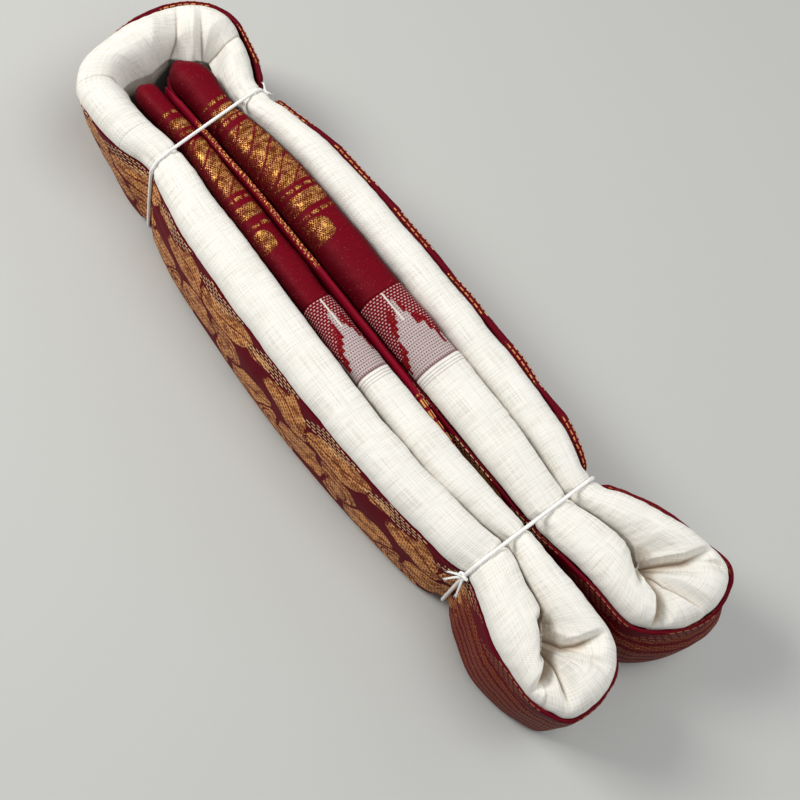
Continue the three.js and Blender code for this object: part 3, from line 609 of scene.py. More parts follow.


# ---------------------------------------------------------------------------------------
# The white cotton: a plain weave of uneven handspun thread, matt, with painted warm shade down
# in the seams and near black lower down, painted dark lines along the creases, and faint stains
# with painted shade in the pits of the two lobes.
WHITE = (0.84, 0.82, 0.76)
WHITE_SHADE = (0.66, 0.625, 0.55)
# Painted shade colours for the seams, the pits and the creases' lines; the first also colours the
# stains.
STAIN_AND_SHADE_BROWN = (0.45, 0.335, 0.22)
CREASE_SHADE_BROWN = (0.20, 0.13, 0.075)
DEEP_SHADE = (0.03, 0.02, 0.016)
THREAD_ROW = (0.33, 0.25, 0.27)  # of three dark threads woven in beside the temple band
WEAVE_PITCH = 0.42             # distance between threads, mm


class Value:
    """A number that varies over a surface, with arithmetic done by Math nodes."""

    def __init__(self, tree, socket):
        self.tree, self.socket = tree, socket

    def node(self, operation, *others):
        made = self.tree.nodes.new("ShaderNodeMath")
        made.operation = operation
        for slot, item in zip(made.inputs, (self, *others)):
            feed(self.tree, slot, item)
        return Value(self.tree, made.outputs[0])

    def __add__(self, other):
        return self.node("ADD", other)

    def __sub__(self, other):
        return self.node("SUBTRACT", other)

    def __mul__(self, other):
        return self.node("MULTIPLY", other)

    def __rsub__(self, other):
        return (self * -1.0) + other

    def __truediv__(self, other):
        return self.node("DIVIDE", other)

    def sine(self):
        return self.node("SINE")

    def fraction(self):
        return self.node("FRACT")

    def whole(self):
        return self.node("FLOOR")

    def size(self):
        return self.node("ABSOLUTE")

    def highest(self, other):
        return self.node("MAXIMUM", other)

    def lowest(self, other):
        return self.node("MINIMUM", other)

    def past(self, edge, soft=0.12):
        """0 below an edge and 1 above it, with a soft step."""
        made = self.tree.nodes.new("ShaderNodeMapRange")
        made.interpolation_type = "SMOOTHSTEP"
        feed(self.tree, made.inputs["Value"], self)
        for key, bound in (("From Min", -soft), ("From Max", soft)):
            if isinstance(edge, Value):
                feed(self.tree, made.inputs[key], edge + bound)
            else:
                made.inputs[key].default_value = edge + bound
        return Value(self.tree, made.outputs[0])

    def between(self, low, high, soft=0.12):
        """1 between two edges and 0 outside them."""
        return self.past(low, soft) - self.past(high, soft)

    def bars(self, half, soft):
        """1 on bars that lie one unit apart, of the given half width, and 0 between them."""
        return (self.fraction() - 0.5).size().between(-1.0, half, soft)


def feed(tree, slot, item):
    """Links a value or socket to a slot, or sets the slot's own number or colour."""
    if isinstance(item, Value):
        item = item.socket
    if isinstance(item, bpy.types.NodeSocket):
        tree.links.new(item, slot)
    elif isinstance(item, tuple) and len(item) == 3 and slot.type == "RGBA":
        slot.default_value = (*item, 1.0)
    else:
        slot.default_value = item


def vector(tree, x, y, z=0.0):
    """Vector from three numbers."""
    made = tree.nodes.new("ShaderNodeCombineXYZ")
    for slot, item in zip(made.inputs, (x, y, z)):
        feed(tree, slot, item)
    return made.outputs[0]


def noise(tree, x, y, z=0.0, detail=1.0):
    """Noise, near 0.5, at a point whose coordinates are counted in noise cells."""
    made = tree.nodes.new("ShaderNodeTexNoise")
    made.inputs["Scale"].default_value = 1.0
    made.inputs["Detail"].default_value = detail
    feed(tree, made.inputs["Vector"], vector(tree, x, y, z))
    return Value(tree, made.outputs["Fac"])


def mixed(tree, share, first, second):
    """Colour between two colours."""
    made = tree.nodes.new("ShaderNodeMix")
    made.data_type = "RGBA"
    feed(tree, made.inputs[0], share)
    feed(tree, made.inputs[6], first)
    feed(tree, made.inputs[7], second)
    return made.outputs[2]


def new_group(name, inputs, outputs):
    """Shader node group with named number inputs and outputs. Returns it, its input values and
    a function that links its outputs."""
    tree = bpy.data.node_groups.new(name, "ShaderNodeTree")
    for key, start in inputs.items():
        socket = tree.interface.new_socket(key, in_out="INPUT", socket_type="NodeSocketFloat")
        socket.default_value = start
    for key in outputs:
        tree.interface.new_socket(key, in_out="OUTPUT", socket_type="NodeSocketFloat")
    entry = tree.nodes.new("NodeGroupInput")
    leave = tree.nodes.new("NodeGroupOutput")
    values = [Value(tree, entry.outputs[key]) for key in inputs]

    def finish_group(*results):
        for key, result in zip(outputs, results):
            feed(tree, leave.inputs[key], result)

    return tree, values, finish_group


def use_group(tree, group, *items):
    """Places a group in a material and returns its outputs as values."""
    made = tree.nodes.new("ShaderNodeGroup")
    made.node_tree = group
    for slot, item in zip(made.inputs, items):
        feed(tree, slot, item)
    return [Value(tree, socket) for socket in made.outputs]


# Plain weave of uneven thread. Places are in mm along and across, pitch is the distance
# between threads. Tone is near 0.5, darker at thin threads, and height is the weave's relief.
HALF_WAVE = 3.1416             # turns a count of threads into an angle
plain_weave, (w_along, w_across, w_pitch), finish_weave = new_group(
    "plain_weave", {"Along": 0.0, "Across": 0.0, "Pitch": 0.5}, ["Tone", "Height"])
warp = noise(plain_weave, w_along / 14.0, w_across / w_pitch, 3.0, 0.0)
weft = noise(plain_weave, w_along / w_pitch, w_across / 12.0, 9.0, 0.0)
thin_warp = noise(plain_weave, w_along / 60.0, w_across / (w_pitch * 2.6), 15.0).past(0.64, 0.05)
thin_weft = noise(plain_weave, w_along / (w_pitch * 2.2), w_across / 20.0, 21.0).past(0.64, 0.05)
over = (w_along / w_pitch * HALF_WAVE).sine() * (w_across / w_pitch * HALF_WAVE).sine()
over = over * 0.5 + 0.5
slub = noise(plain_weave, w_along / 5.0, w_across / 1.6, 27.0, 2.0)
weave_tone = (warp + weft) * 0.47 + slub * 0.06 - thin_warp * 0.035 - thin_weft * 0.04
finish_weave(weave_tone, warp * 0.34 + weft * 0.34 + over * 0.32)


CLOTH_GLOSS = 0.06             # specular level of all the cloth
MM_PER_M = 1000.0


def cloth_material(name, roughness, sheen=0.0):
    """Material with its node tree, its shader and its UV map's two distances in mm."""
    material = bpy.data.materials.new(name)
    material.use_nodes = True
    tree = material.node_tree
    shader = tree.nodes["Principled BSDF"]
    shader.inputs["Roughness"].default_value = roughness
    shader.inputs["Sheen Weight"].default_value = sheen
    shader.inputs["Specular IOR Level"].default_value = CLOTH_GLOSS
    uv_map = tree.nodes.new("ShaderNodeUVMap")
    uv_map.uv_map = "cloth"
    split = tree.nodes.new("ShaderNodeSeparateXYZ")
    tree.links.new(uv_map.outputs[0], split.inputs[0])
    along = Value(tree, split.outputs[0]) * MM_PER_M
    across = Value(tree, split.outputs[1]) * MM_PER_M
    return material, tree, shader, along, across


def raised(tree, shader, height, distance):
    """Feeds the shader's normal from a height, whose full relief is distance in mm."""
    bump = tree.nodes.new("ShaderNodeBump")
    bump.inputs["Distance"].default_value = distance * MM
    bump.inputs["Strength"].default_value = 1.0
    feed(tree, bump.inputs["Height"], height)
    tree.links.new(bump.outputs[0], shader.inputs["Normal"])


def attribute(tree, name):
    """A float attribute of the mesh."""
    made = tree.nodes.new("ShaderNodeAttribute")
    made.attribute_name = name
    return Value(tree, made.outputs["Fac"])


def split_place(tree, place):
    """The three object coordinates."""
    made = tree.nodes.new("ShaderNodeSeparateXYZ")
    tree.links.new(place.outputs["Object"], made.inputs[0])
    return made.outputs


def stain_and_shade(tree, colour, spots):
    """Brownish stains round given places in mm, strong enough to also paint shade into the pits:
    each fades out over its own radius.
    """
    place = tree.nodes.new("ShaderNodeTexCoord")
    for x, y, z, radius, strength in spots:
        gap = tree.nodes.new("ShaderNodeVectorMath")
        gap.operation = "DISTANCE"
        tree.links.new(place.outputs["Object"], gap.inputs[0])
        gap.inputs[1].default_value = (x * MM, y * MM, z * MM)
        distance = Value(tree, gap.outputs["Value"]) * (1 / (radius * MM))
        grain = noise(tree, *(Value(tree, s) * 900.0 for s in split_place(tree, place)), 2.0)
        share = (1.0 - distance.past(0.5, 0.5)) * grain.past(0.5, 0.25) * strength
        colour = mixed(tree, share, colour, STAIN_AND_SHADE_BROWN)
    return colour


# Brown stains in the pits of the lobes, made strong to darken the pits: partly real stains, partly
# painted shade.
PIT_STAINS_AND_SHADE = [
    # x, y, z, radius in mm, strength
    (112.5, -23.5, 41.0, 8.5, 1.0), (119.5, -26.4, 41.0, 8.5, 1.0),
    (121.5, 16.2, 41.0, 9.0, 1.0),
]

white_cotton, tree, shader, along, across = cloth_material("white_cotton", 0.88, 0.12)
tone, relief = use_group(tree, plain_weave, along, across, WEAVE_PITCH)
cotton_colour = mixed(tree, tone.past(0.40, 0.2), WHITE_SHADE, WHITE)
thread_rows = along.between(33.0, 33.4, 0.1) + along.between(34.2, 34.5, 0.1)
thread_rows = thread_rows + along.between(35.3, 35.6, 0.1)
cotton_colour = mixed(tree, thread_rows * 0.6, cotton_colour, THREAD_ROW)
# Painted shade: warm brown down the seams between the rolls and in the pits of the lobes, a dark
# line along each crease, and near black low down the sides.
seam_shade = attribute(tree, "seam_shade")
cotton_colour = mixed(tree, seam_shade.lowest(1.0) * 0.5, cotton_colour, STAIN_AND_SHADE_BROWN)
cotton_colour = mixed(tree, attribute(tree, "pit_shade") * 0.7, cotton_colour, STAIN_AND_SHADE_BROWN)
cotton_colour = mixed(tree, attribute(tree, "fold") * 0.75, cotton_colour, CREASE_SHADE_BROWN)
cotton_colour = mixed(tree, seam_shade.past(1.4, 0.4), cotton_colour, DEEP_SHADE)
tree.links.new(stain_and_shade(tree, cotton_colour, PIT_STAINS_AND_SHADE), shader.inputs["Base Color"])
raised(tree, shader, relief, 0.2)

WHITE_ROLLS = {
    # piece: run, part of the run, node it replaces
    "white_roll_left_lobe": ("left_lobe", 0, "left_lobe"),
    "white_roll_outer_left": ("outer_left", 0, "outer_left_run"),
    "white_roll_loop": ("loop", 0, "loop"),
    "white_roll_outer_right": ("outer_right", 0, "outer_right_run"),
    "white_roll_right_lobe": ("right_lobe", 0, "right_lobe"),
    "white_roll_inner_left": ("inner_left", 2, "inner_left_run"),
    "white_roll_inner_right": ("inner_right", 0, "inner_right_run"),
}
BAND_START = {"inner_left": fine_run[5 * FINE], "inner_right": fine_run[59 * FINE]}


def band_place(run):
    """Distance along an inner run from the maroon edge of its temple band, growing towards the
    white cloth, or on another run the distance along the strip."""
    if run not in BAND_START:
        return lambda d: d
    direction = 1 if run == "inner_left" else -1
    return lambda d: (d - BAND_START[run]) * direction


for name, (run, part, node) in WHITE_ROLLS.items():
    lay_roll(name, run, part, band_place(run), 1, white_cotton, [node])

# ---------------------------------------------------------------------------------------
# The temple band between the border and the white cloth: stepped maroon points with white
# dots, woven into a pinkish ground of white thread with fine dark thread lines.
BAND_LENGTH = 32.0
MAROON = (0.160, 0.0012, 0.0085)
DEEP_MAROON = (0.055, 0.0005, 0.003)
# Painted shade colour for the seams between the rolls.
SEAM_SHADE_MAROON = (0.018, 0.0004, 0.0012)
BAND_PINK = (0.52, 0.435, 0.42)
BAND_LINE = (0.16, 0.075, 0.085)
BAND_DOT = (0.56, 0.39, 0.365)
BAND_GOLD = (0.33, 0.05, 0.02)
STEP_ACROSS = 1.3              # one step of a point, across the roll and along it, mm
STEP_ALONG = 2.1
BAND_PICK = 1.05               # distance between rows of the ground's threads, mm
BAND_CELL = 0.95               # length of one float in them, mm
POINT_REACH = 24.0             # how much further the points reach than the valleys, mm
VALLEY_REACH = 5.0             # how far the maroon reaches in the valleys, mm
POINT_RAGGED = 16.0            # how unevenly the points end, mm
TIP = 5.0                      # length of a point's end, where it is thinner, mm


def band_material(name, valley, period):
    """Temple points: the maroon reaches furthest along at the middle of each point, one period
    apart across the roll, and least at the valley between them, in steps of one thread row."""
    material, tree, shader, along, across = cloth_material(name, 0.8)
    row = (across / STEP_ACROSS).whole() * STEP_ACROSS + 0.65
    swing = (((row - valley) / period + 0.5).fraction() - 0.5).size() * 2.0
    uneven = noise(tree, row * 0.9, 0.0, 60.0, 0.0) - 0.5
    reach = swing * POINT_REACH + VALLEY_REACH + uneven * POINT_RAGGED
    step = (along / STEP_ALONG).whole() * STEP_ALONG
    temple = 1.0 - step.past(reach, 0.1)
    tip = step.past(reach - TIP, 0.1) * swing.past(0.2, 0.05)
    pick = (along / BAND_PICK).whole()
    dots = (along / BAND_PICK).bars(0.19, 0.08)
    brick = (across / 1.5 + pick * 0.5).bars(0.27, 0.08)
    white_dot = dots * brick * (1.0 - tip)
    cells = (across / BAND_CELL + pick * 0.5).bars(0.32, 0.08)
    lines = dots * cells
    cross = ((across / BAND_CELL).fraction() - 0.5).size().past(0.36, 0.08)
    stripe = (across - valley).size().between(-1.0, 0.34, 0.08) * along.between(0.4, 13.0, 0.2)
    fuzz = noise(tree, along * 0.9, across * 1.1, 4.0, 2.0)
    dark = (lines * 0.9 + cross * 0.34) * (fuzz * 1.1 + 0.4)
    ground = mixed(tree, dark, BAND_PINK, BAND_LINE)
    spike = mixed(tree, tip * lines * fuzz.past(0.5, 0.1), MAROON, BAND_GOLD)
    spike = mixed(tree, white_dot, spike, BAND_DOT)
    colour = mixed(tree, temple, ground, spike)
    colour = mixed(tree, stripe, colour, WHITE_SHADE)
    end_line = along.between(BAND_LENGTH - 0.7, BAND_LENGTH - 0.3, 0.1)
    end_line = end_line + along.between(0.0, 0.2, 0.1)
    colour = mixed(tree, end_line * 0.8, colour, MAROON)
    # Painted shade: near black maroon down the seams between the rolls.
    colour = mixed(tree, attribute(tree, "seam_shade").lowest(1.0) * 0.75, colour, SEAM_SHADE_MAROON)
    tree.links.new(colour, shader.inputs["Base Color"])
    relief = lines * 0.4 + cross * 0.3 + temple * 0.6 - white_dot * 0.3
    raised(tree, shader, relief, 0.2)
    return material


BANDS = {
    # piece: run, part, side, valley between the points and their distance apart, mm, and node
    "temple_band_left": ("inner_left", 1, 1, 0.5, 15.0, "inner_left_band"),
    "temple_band_right": ("inner_right", 1, -1, -1.8, 20.0, "inner_right_band"),
}
for name, (run, part, side, valley, period, node) in BANDS.items():
    band = band_material(name + "_cloth", valley, period)
    lay_roll(name, run, part, band_place(run), side, band, [node])

# ---------------------------------------------------------------------------------------
# The border: maroon satin with rows of dashes, blocks and slanting leaves in gold thread. The
# plain maroon end is turned in to a round nose.
GOLD = (0.88, 0.45, 0.13)
BRONZE = (0.19, 0.045, 0.011)
SATIN_SPECK = (0.5, 0.22, 0.18)
BORDER_ROWS = {
    # where each row of the pattern lies, mm from the band. A rosette's five numbers are its
    # place along, the distance to the next, its half length, half width and shift across.
    "left": {"dashes": (-89.3, -79.6, -46.8, -34.5), "blocks": ((-86.1, -81.5), (-43.7, -38.2)),
             "leaves": (-75.2, -49.6), "rosette": (-28.0, 24.0, 4.4, 5.0, 0.65)},
    "right": {"dashes": (-96.4, -86.9, -49.1, -37.9), "blocks": ((-93.6, -88.4), (-46.9, -40.7)),
              "leaves": (-83.3, -51.6), "rosette": (-31.4, 30.0, 4.9, 6.9, 0.707)},
}
DASH_PERIOD = 3.9              # distance between dashes across the roll, mm
LEAF_PERIOD = 7.9              # distance between slanting leaves along it, mm
SQUARENESS = 2.8               # of a rosette's outline, where 2 is an ellipse
GOLD_PICK = 0.72               # distance between rows of the gold thread, mm
GOLD_FLOAT = 0.95              # length of one float in them, mm


def border_material(name, rows):
    """Rows of dashes, solid blocks, a field of slanting leaves and a row of rosettes, each
    worked out from the distance along the border and across the roll."""
    material, tree, shader, along, across = cloth_material(name, 0.5)
    fuzz = noise(tree, along * 2.2, across * 1.6, 1.0, 2.0)
    ragged = along + (fuzz - 0.5) * 1.3
    parts = []
    for k, centre in enumerate(rows["dashes"]):
        dash = (across / DASH_PERIOD + 0.31 * k).bars(0.37, 0.03)
        parts.append(ragged.between(centre - 0.7, centre + 0.7) * dash)
    for start, end in rows["blocks"]:
        parts.append(ragged.between(start, end))
    start, end = rows["leaves"]
    slant = (ragged - start + across * 0.62 + (across * 0.3).sine() * 1.2) / LEAF_PERIOD
    leaf = (slant.fraction() - 0.5).size()
    leaf = leaf + noise(tree, along / 1.6, across / 1.6, 50.0, 1.0) * 0.2
    leaf = leaf.between(-1.0, 0.535, 0.04)
    parts.append(ragged.between(start, end, 0.5) * leaf)
    centre, period, half_along, half_across, shift = rows["rosette"]
    cell = ((across / period + shift).fraction() - 0.5) * period
    ring = ((ragged - centre) / half_along).size().node("POWER", SQUARENESS)
    ring = ring + (cell / half_across).size().node("POWER", SQUARENESS)
    parts.append(1.0 - ring.past(1.0, 0.08))
    gold = parts[0]
    for part in parts[1:]:
        gold = gold.highest(part)
    pick = (along / GOLD_PICK).whole()
    tick = (across / GOLD_FLOAT + pick * 0.5).bars(0.27, 0.1)
    tick = tick * (along / GOLD_PICK).bars(0.36, 0.1)
    # Painted shade on the roll's sides, away from the crown's middle line: darker satin, browner
    # gold and fewer gold specks there.
    flank = attribute(tree, "side").past(0.7, 0.3)
    patches = noise(tree, along / 2.2, across / 3.4, 5.0, 2.0)
    crumbs = noise(tree, along / 0.55, across / 0.75, 12.0, 1.0)
    worn = (patches + crumbs * 0.4).past(0.6, 0.06)
    gold = gold * (1.0 - tick * worn) * (crumbs - flank * 0.24).past(0.34, 0.04)
    dots = noise(tree, along / 0.5, across / 0.5, 40.0, 0.0).past(0.79, 0.02)
    shine = noise(tree, along / 0.5, across / 12.0, 2.0).past(0.5, 0.3)
    satin = mixed(tree, shine * 0.35, MAROON, DEEP_MAROON)
    satin = mixed(tree, flank * 0.85, satin, DEEP_MAROON)
    satin = mixed(tree, dots * 0.3, satin, SATIN_SPECK)
    streak = noise(tree, along / 1.8, across / 3.6, 31.0, 0.0) * 0.9
    streak = streak + noise(tree, along / 0.4, across / 0.8, 35.0, 0.0)
    zari = mixed(tree, (streak - patches * 0.3 - flank * 0.45).past(0.8, 0.3), BRONZE, GOLD)
    cloth = mixed(tree, gold, satin, zari)
    # Painted shade: near black maroon down the seams between the rolls.
    cloth = mixed(tree, attribute(tree, "seam_shade").lowest(1.0) * 0.85, cloth, SEAM_SHADE_MAROON)
    tree.links.new(cloth, shader.inputs["Base Color"])
    feed(tree, shader.inputs["Metallic"], gold * 0.5)
    feed(tree, shader.inputs["Roughness"], 0.55 - gold * 0.13)
    raised(tree, shader, gold * (streak * 0.4 + 0.6) + fuzz * 0.08, 0.3)
    return material


BORDERS = {
    # piece: run, part of the run, side, rows of the pattern, node
    "border_roll_left": ("inner_left", 0, 1, "left", "inner_left_border"),
    "border_roll_right": ("inner_right", 2, -1, "right", "inner_right_border"),
}
for name, (run, part, side, rows_name, node) in BORDERS.items():
    satin_cloth = border_material(name + "_cloth", BORDER_ROWS[rows_name])
    lay_roll(name, run, part, band_place(run), side, satin_cloth, [node])

# ---------------------------------------------------------------------------------------
# The pallu: maroon brocade that covers the strip's outer side and turns under it. Its top
# edge is a fold beside the white roll, and it swells out over the layers inside. Leaves and
# mangoes of gold thread repeat along it, with rows of gold dashes under the edge, painted pale
# and bright as a highlight where the thread catches the light.
REPEAT = 66.0
LEAVES = [
    # place of the stalk along and down, length, width, tilt in degrees, bend
    (0.0, 4.6, 34.0, 11.5, 13.0, 2.5),
    (29.0, 15.0, 34.0, 13.0, -9.0, -3.0),
    (14.0, 26.0, 36.0, 13.0, 9.0, -3.0),
    (49.0, 23.0, 34.0, 12.0, 12.0, 3.0),
    (42.0, 5.4, 25.0, 8.0, 5.0, 1.6),
    (6.0, 43.0, 40.0, 12.0, -4.0, 2.0),
    (44.0, 42.0, 30.0, 10.0, 4.0, -2.0),
]
MANGOES = [
    # place of the body along and down, radius, tail along and down, curl
    (10.0, 26.0, 8.0, 17.0, -7.0, 4.0),
    (46.0, 33.0, 7.4, -15.0, 6.0, -4.0),
]


def leaf_field(a, b, stalk_a, stalk_b, length, width, tilt, bend):
    """Distance inside a leaf's outline and from its middle line: across the leaf its half width
    is a sine of the place along it, and the middle line is bent by half a sine."""
    c, s = math.cos(math.radians(tilt)), math.sin(math.radians(tilt))
    along_leaf = ((a - stalk_a) * c + (b - stalk_b) * s) / length
    off = -(a - stalk_a) * s + (b - stalk_b) * c
    t = np.clip(along_leaf, 0, 1)
    middle = bend * np.sin(np.pi * t)
    half = width / 2 * np.sin(np.pi * t**0.8) ** 0.8
    beyond = np.maximum(np.abs(along_leaf - 0.5) - 0.5, 0) * length
    return half - np.abs(off - middle) - beyond, off - middle


def mango_field(a, b, body_a, body_b, radius, tail_a, tail_b, curl):
    """Distance inside a mango's outline: the largest over circles that shrink from the body
    along a curling tail."""
    field = np.full(np.broadcast(a, b).shape, -1e3)
    norm = math.hypot(tail_a, tail_b)
    for t in np.linspace(0, 1, 14):
        ca = body_a + tail_a * t - tail_b / norm * curl * t * t
        cb = body_b + tail_b * t + tail_a / norm * curl * t * t
        field = np.maximum(field, radius * (1 - t) ** 1.1 + 0.5 - np.hypot(a - ca, b - cb))
    return field


MOTIF_MARGIN = 0.9             # growth of each motif past its own outline, mm
MOTIF_GAP = 0.55               # half the gap between two motifs that meet, mm


def brocade_fields(u, v):
    """The repeat's motifs at places along and down. Each place belongs to the motif that it
    lies furthest inside, and the gaps run where two motifs are equally near. Returns how far
    inside its motif a place is, its distance from a leaf's middle line, and how far inside a
    mango it is."""
    first = np.full(u.shape, -1e3)
    second = np.full(u.shape, -1e3)
    vein = np.full(u.shape, 9.0)
    mango = np.full(u.shape, -9.0)
    for shift in (-REPEAT, 0.0, REPEAT):
        a = np.mod(u, REPEAT) + shift
        motifs = [leaf_field(a, v, *row) for row in LEAVES]
        motifs += [(mango_field(a, v, *row), 9.0) for row in MANGOES]
        for k, (inside, middle) in enumerate(motifs):
            nearer = inside > first
            second = np.where(nearer, first, np.maximum(second, inside))
            first = np.where(nearer, inside, first)
            vein = np.where(nearer, middle, vein)
            mango = np.where(nearer, inside if k >= len(LEAVES) else -9.0, mango)
    motif = np.minimum(first + MOTIF_MARGIN, (first - second) / 2 - MOTIF_GAP)
    return {"motif": motif, "vein": vein, "mango": mango}


EDGE_DROP = 1.5                # height of the crown's edge over the pallu's folded edge, mm
CORNER = 4.0                   # inner radius of the lower corner, mm
FOOT_END = 0.8                 # distance of the foot's end from the strip's inner edge, mm
HOLLOW_FOOT = 4.5              # how far the foot reaches out under the hollow of the loop, mm
TOP_MIDDLE = 4                 # point of a section in the middle of its top fold
WALL_OUTSIDE = 56              # points of a section from its top fold to the end of its foot


def wall_surface(run):
    """The pallu's wall over one run as a closed section: over its folded top edge, down the
    swelling outer side, round the lower corner, along the foot and back up inside."""
    rows, distance, _ = sections(run)
    m = measured(rows)
    loose = 1 - m["pinch"]
    edge = m["crown"] - EDGE_DROP - CLEAR + m["rise"]
    corner = np.minimum(CORNER, m["width"] / 5)
    low = m["lift"] + corner + WALL
    round_ = corner + WALL

    def face(z):
        return wall_face(m, z) + m["stand"] * smooth((z - m["crown"] + 9) / 7)

    def thickness(z):
        return WALL + (m["inset"] * 0.6 - 0.9) * smooth((z - m["crown"] + 4) / 3)

    radius = thickness(edge) / 2
    bead = np.linspace(np.pi, 0, 9)[None, :]
    drop = np.linspace(0, 1, 37)[None, 1:]
    turn = np.linspace(0, np.pi / 2, 8)[None, 1:]
    foot = np.linspace(0, 1, 5)[None, 1:]
    top_t = face(edge - radius) - radius + radius * np.cos(bead)
    top_z = edge - radius + radius * np.sin(bead)
    side_z = (edge - radius) + (low - edge + radius) * drop
    side_t = face(side_z)
    low_t = face(low)
    corner_t = low_t - round_ + round_ * np.cos(turn)
    corner_z = m["lift"] + round_ - round_ * np.sin(turn)
    foot_end = FOOT_END - HOLLOW_FOOT * float(run == "loop") * smooth(m["reach"] / 3)
    foot_t = (low_t - round_) + (foot_end - low_t + round_) * foot
    foot_z = m["lift"] + 0 * foot
    inner_t = low_t - round_ + corner * np.cos(turn[:, ::-1])
    inner_z = m["lift"] + round_ - corner * np.sin(turn[:, ::-1])
    rise_z = side_z[:, ::-4][:, :-1]
    rise_t = face(rise_z) - thickness(rise_z)
    across = [top_t, side_t, corner_t, foot_t, foot_t[:, :0:-1], inner_t, rise_t]
    height = [top_z, side_z, corner_z, foot_z, foot_z[:, :0:-1] + WALL, inner_z, rise_z]
    points = placed(m, np.concatenate(across, axis=1), np.concatenate(height, axis=1))
    girth = girths(points)
    girth = girth - girth[:, TOP_MIDDLE:TOP_MIDDLE + 1]
    outer = top_t.shape[1] + side_t.shape[1]
    weight = np.zeros(points.shape[1])
    weight[2:outer] = smooth(np.linspace(4, 0, outer - 2))
    free = np.clip(m["belly"] / 2, 0.3, 1.0)
    place = distance[:, None]
    near = tie_distance(points[..., 0], points[..., 1])
    swell = 0.75 * waves(place, girth, 43, 34, 60) + 0.22 * waves(place, girth, 52, 9, 30)
    pucker = 0.7 * np.exp(-near / 7) * np.cos(2 * np.pi * girth / 6.5 + 1.0)
    groove = 0.5 * np.exp(-((near / 1.4) ** 2))
    push = weight * (swell * free + pucker * loose - groove)
    points[..., 0:2] += m["direction"][:, None, :] * push[..., None]
    return points, distance, girth


# Gold thread laid over the cloth in short floats. Places are in mm, length is a float's length
# and pitch the distance between threads. Tone varies from float to float, gap is 1 where a
# float ends, and height is the rounded thread.
gold_floats, (g_along, g_across, g_length, g_pitch), finish_floats = new_group(
    "gold_floats", {"Along": 0.0, "Across": 0.0, "Length": 2.0, "Pitch": 0.5},
    ["Tone", "Gap", "Height"])
g_row = g_across / g_pitch
g_phase = g_along / g_length + g_row.whole() * 0.37
g_random = gold_floats.nodes.new("ShaderNodeTexWhiteNoise")
g_random.noise_dimensions = "2D"
feed(gold_floats, g_random.inputs["Vector"], vector(gold_floats, g_row.whole(), g_phase.whole()))
g_gap = (g_phase.fraction() - 0.5).size().past(0.42, 0.05)
g_side = (g_row.fraction() - 0.5).size()
g_height = (1.0 - g_side * g_side * 3.0) * (1.0 - g_gap)
finish_floats(Value(gold_floats, g_random.outputs["Value"]), g_gap, g_height)

BROCADE_GROUND = (0.16, 0.0015, 0.011)
FLOAT_SHADE = (0.30, 0.08, 0.02)
FLOAT_GOLD = (0.80, 0.37, 0.125)
DASH_HIGHLIGHT_GOLD = (0.92, 0.68, 0.38)
DASH_ROW = 1.55                # distance between rows of dashes under the edge, mm
DASH_LENGTH = 2.7              # distance between dashes in a row, mm
DASH_GROUP = 33.0              # distance between groups of dashes, mm
STRIPE_WIDTH = 5.2             # distance between the stripes of the lobes, mm
FLOAT_LENGTH = 2.2             # length of the gold thread's floats in the motifs, mm
FLOAT_PITCH = 1.0              # distance between those threads, mm

pallu_brocade, tree, shader, along, across = cloth_material("pallu_brocade", 0.5)
motif, vein, mango = (attribute(tree, key) for key in ("motif", "vein", "mango"))
stripes = attribute(tree, "stripes")
fray = (noise(tree, along * 1.3, across * 2.2, 1.0, 1.0) - 0.5) * 0.7
shape = (motif + fray).past(0.0, 0.1) * vein.size().past(0.3, 0.1) * across.past(1.2, 0.3)
shape = shape - shape * (mango.between(1.3, 2.0, 0.1) + mango.between(4.4, 5.0, 0.1))
banding = ((across - 8.0 + along * 0.06) / STRIPE_WIDTH).fraction().between(-1.0, 0.66, 0.03)
banding = banding * across.past(7.5, 0.3)
woven = Value(tree, mixed(tree, stripes, shape.socket, banding.socket))
dash_row = (across / DASH_ROW).whole()
window = ((along - dash_row * 2.4) / DASH_GROUP).fraction().between(0.2, 0.8, 0.004)
dash = (along / DASH_LENGTH + dash_row * 0.3).bars(0.36, 0.04)
line = (across / DASH_ROW).bars(0.17, 0.08)
dashes = window * dash * line * across.between(-2.5, 7.5, 0.1) * (1.0 - stripes * 0.55)
twill_along = along * 0.9 + across * 0.44
twill_across = across * 0.9 - along * 0.44
tone, gap, thread = use_group(
    tree, gold_floats, twill_along, twill_across, FLOAT_LENGTH, FLOAT_PITCH)
grain = noise(tree, along / 5.0, across / 3.0, 17.0, 1.0)
gold = (woven * (1.0 - gap * 0.8) * thread.past(stripes * 0.46 + 0.26, 0.22)).highest(dashes)
glint = (tone * 0.5 + grain - stripes * 0.55).past(0.68, 0.3)
zari = mixed(tree, glint, FLOAT_SHADE, FLOAT_GOLD)
# The dashes are woven gold; their pale bright colour is a painted highlight.
zari = mixed(tree, dashes * across.past(0.4, 0.4), zari, DASH_HIGHLIGHT_GOLD)
mottle = noise(tree, along * 2.0, across * 2.0, 8.0, 1.0)
ground = mixed(tree, mottle, DEEP_MAROON, BROCADE_GROUND)
tree.links.new(mixed(tree, gold, ground, zari), shader.inputs["Base Color"])
feed(tree, shader.inputs["Metallic"], gold * 0.35)
feed(tree, shader.inputs["Roughness"], 0.58 - gold * 0.16)
raised(tree, shader, gold * (thread * 0.6 + 0.4), 0.36)

walls = {}
for run in RUNS:
    points, distance, girth = wall_surface(run)
    walls[run] = points
    u = np.broadcast_to(distance[:, None], girth.shape)
    fields = brocade_fields(u, girth)
    turning = 1.0 if run.endswith("lobe") else 0.0
    fields["motif"][:, WALL_OUTSIDE - 2:] = -1.0
    near = tie_distance(points[..., 0], points[..., 1])
    fields["stripes"] = turning * smooth((near - 1) / 11)
    places = np.stack([u, girth], axis=-1)
    wall = grid_object("pallu_wall_" + run, points, places, True, True, fields)
    wall.data.materials.append(pallu_brocade)
    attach(wall, "root")
    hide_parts("pallu_" + run)

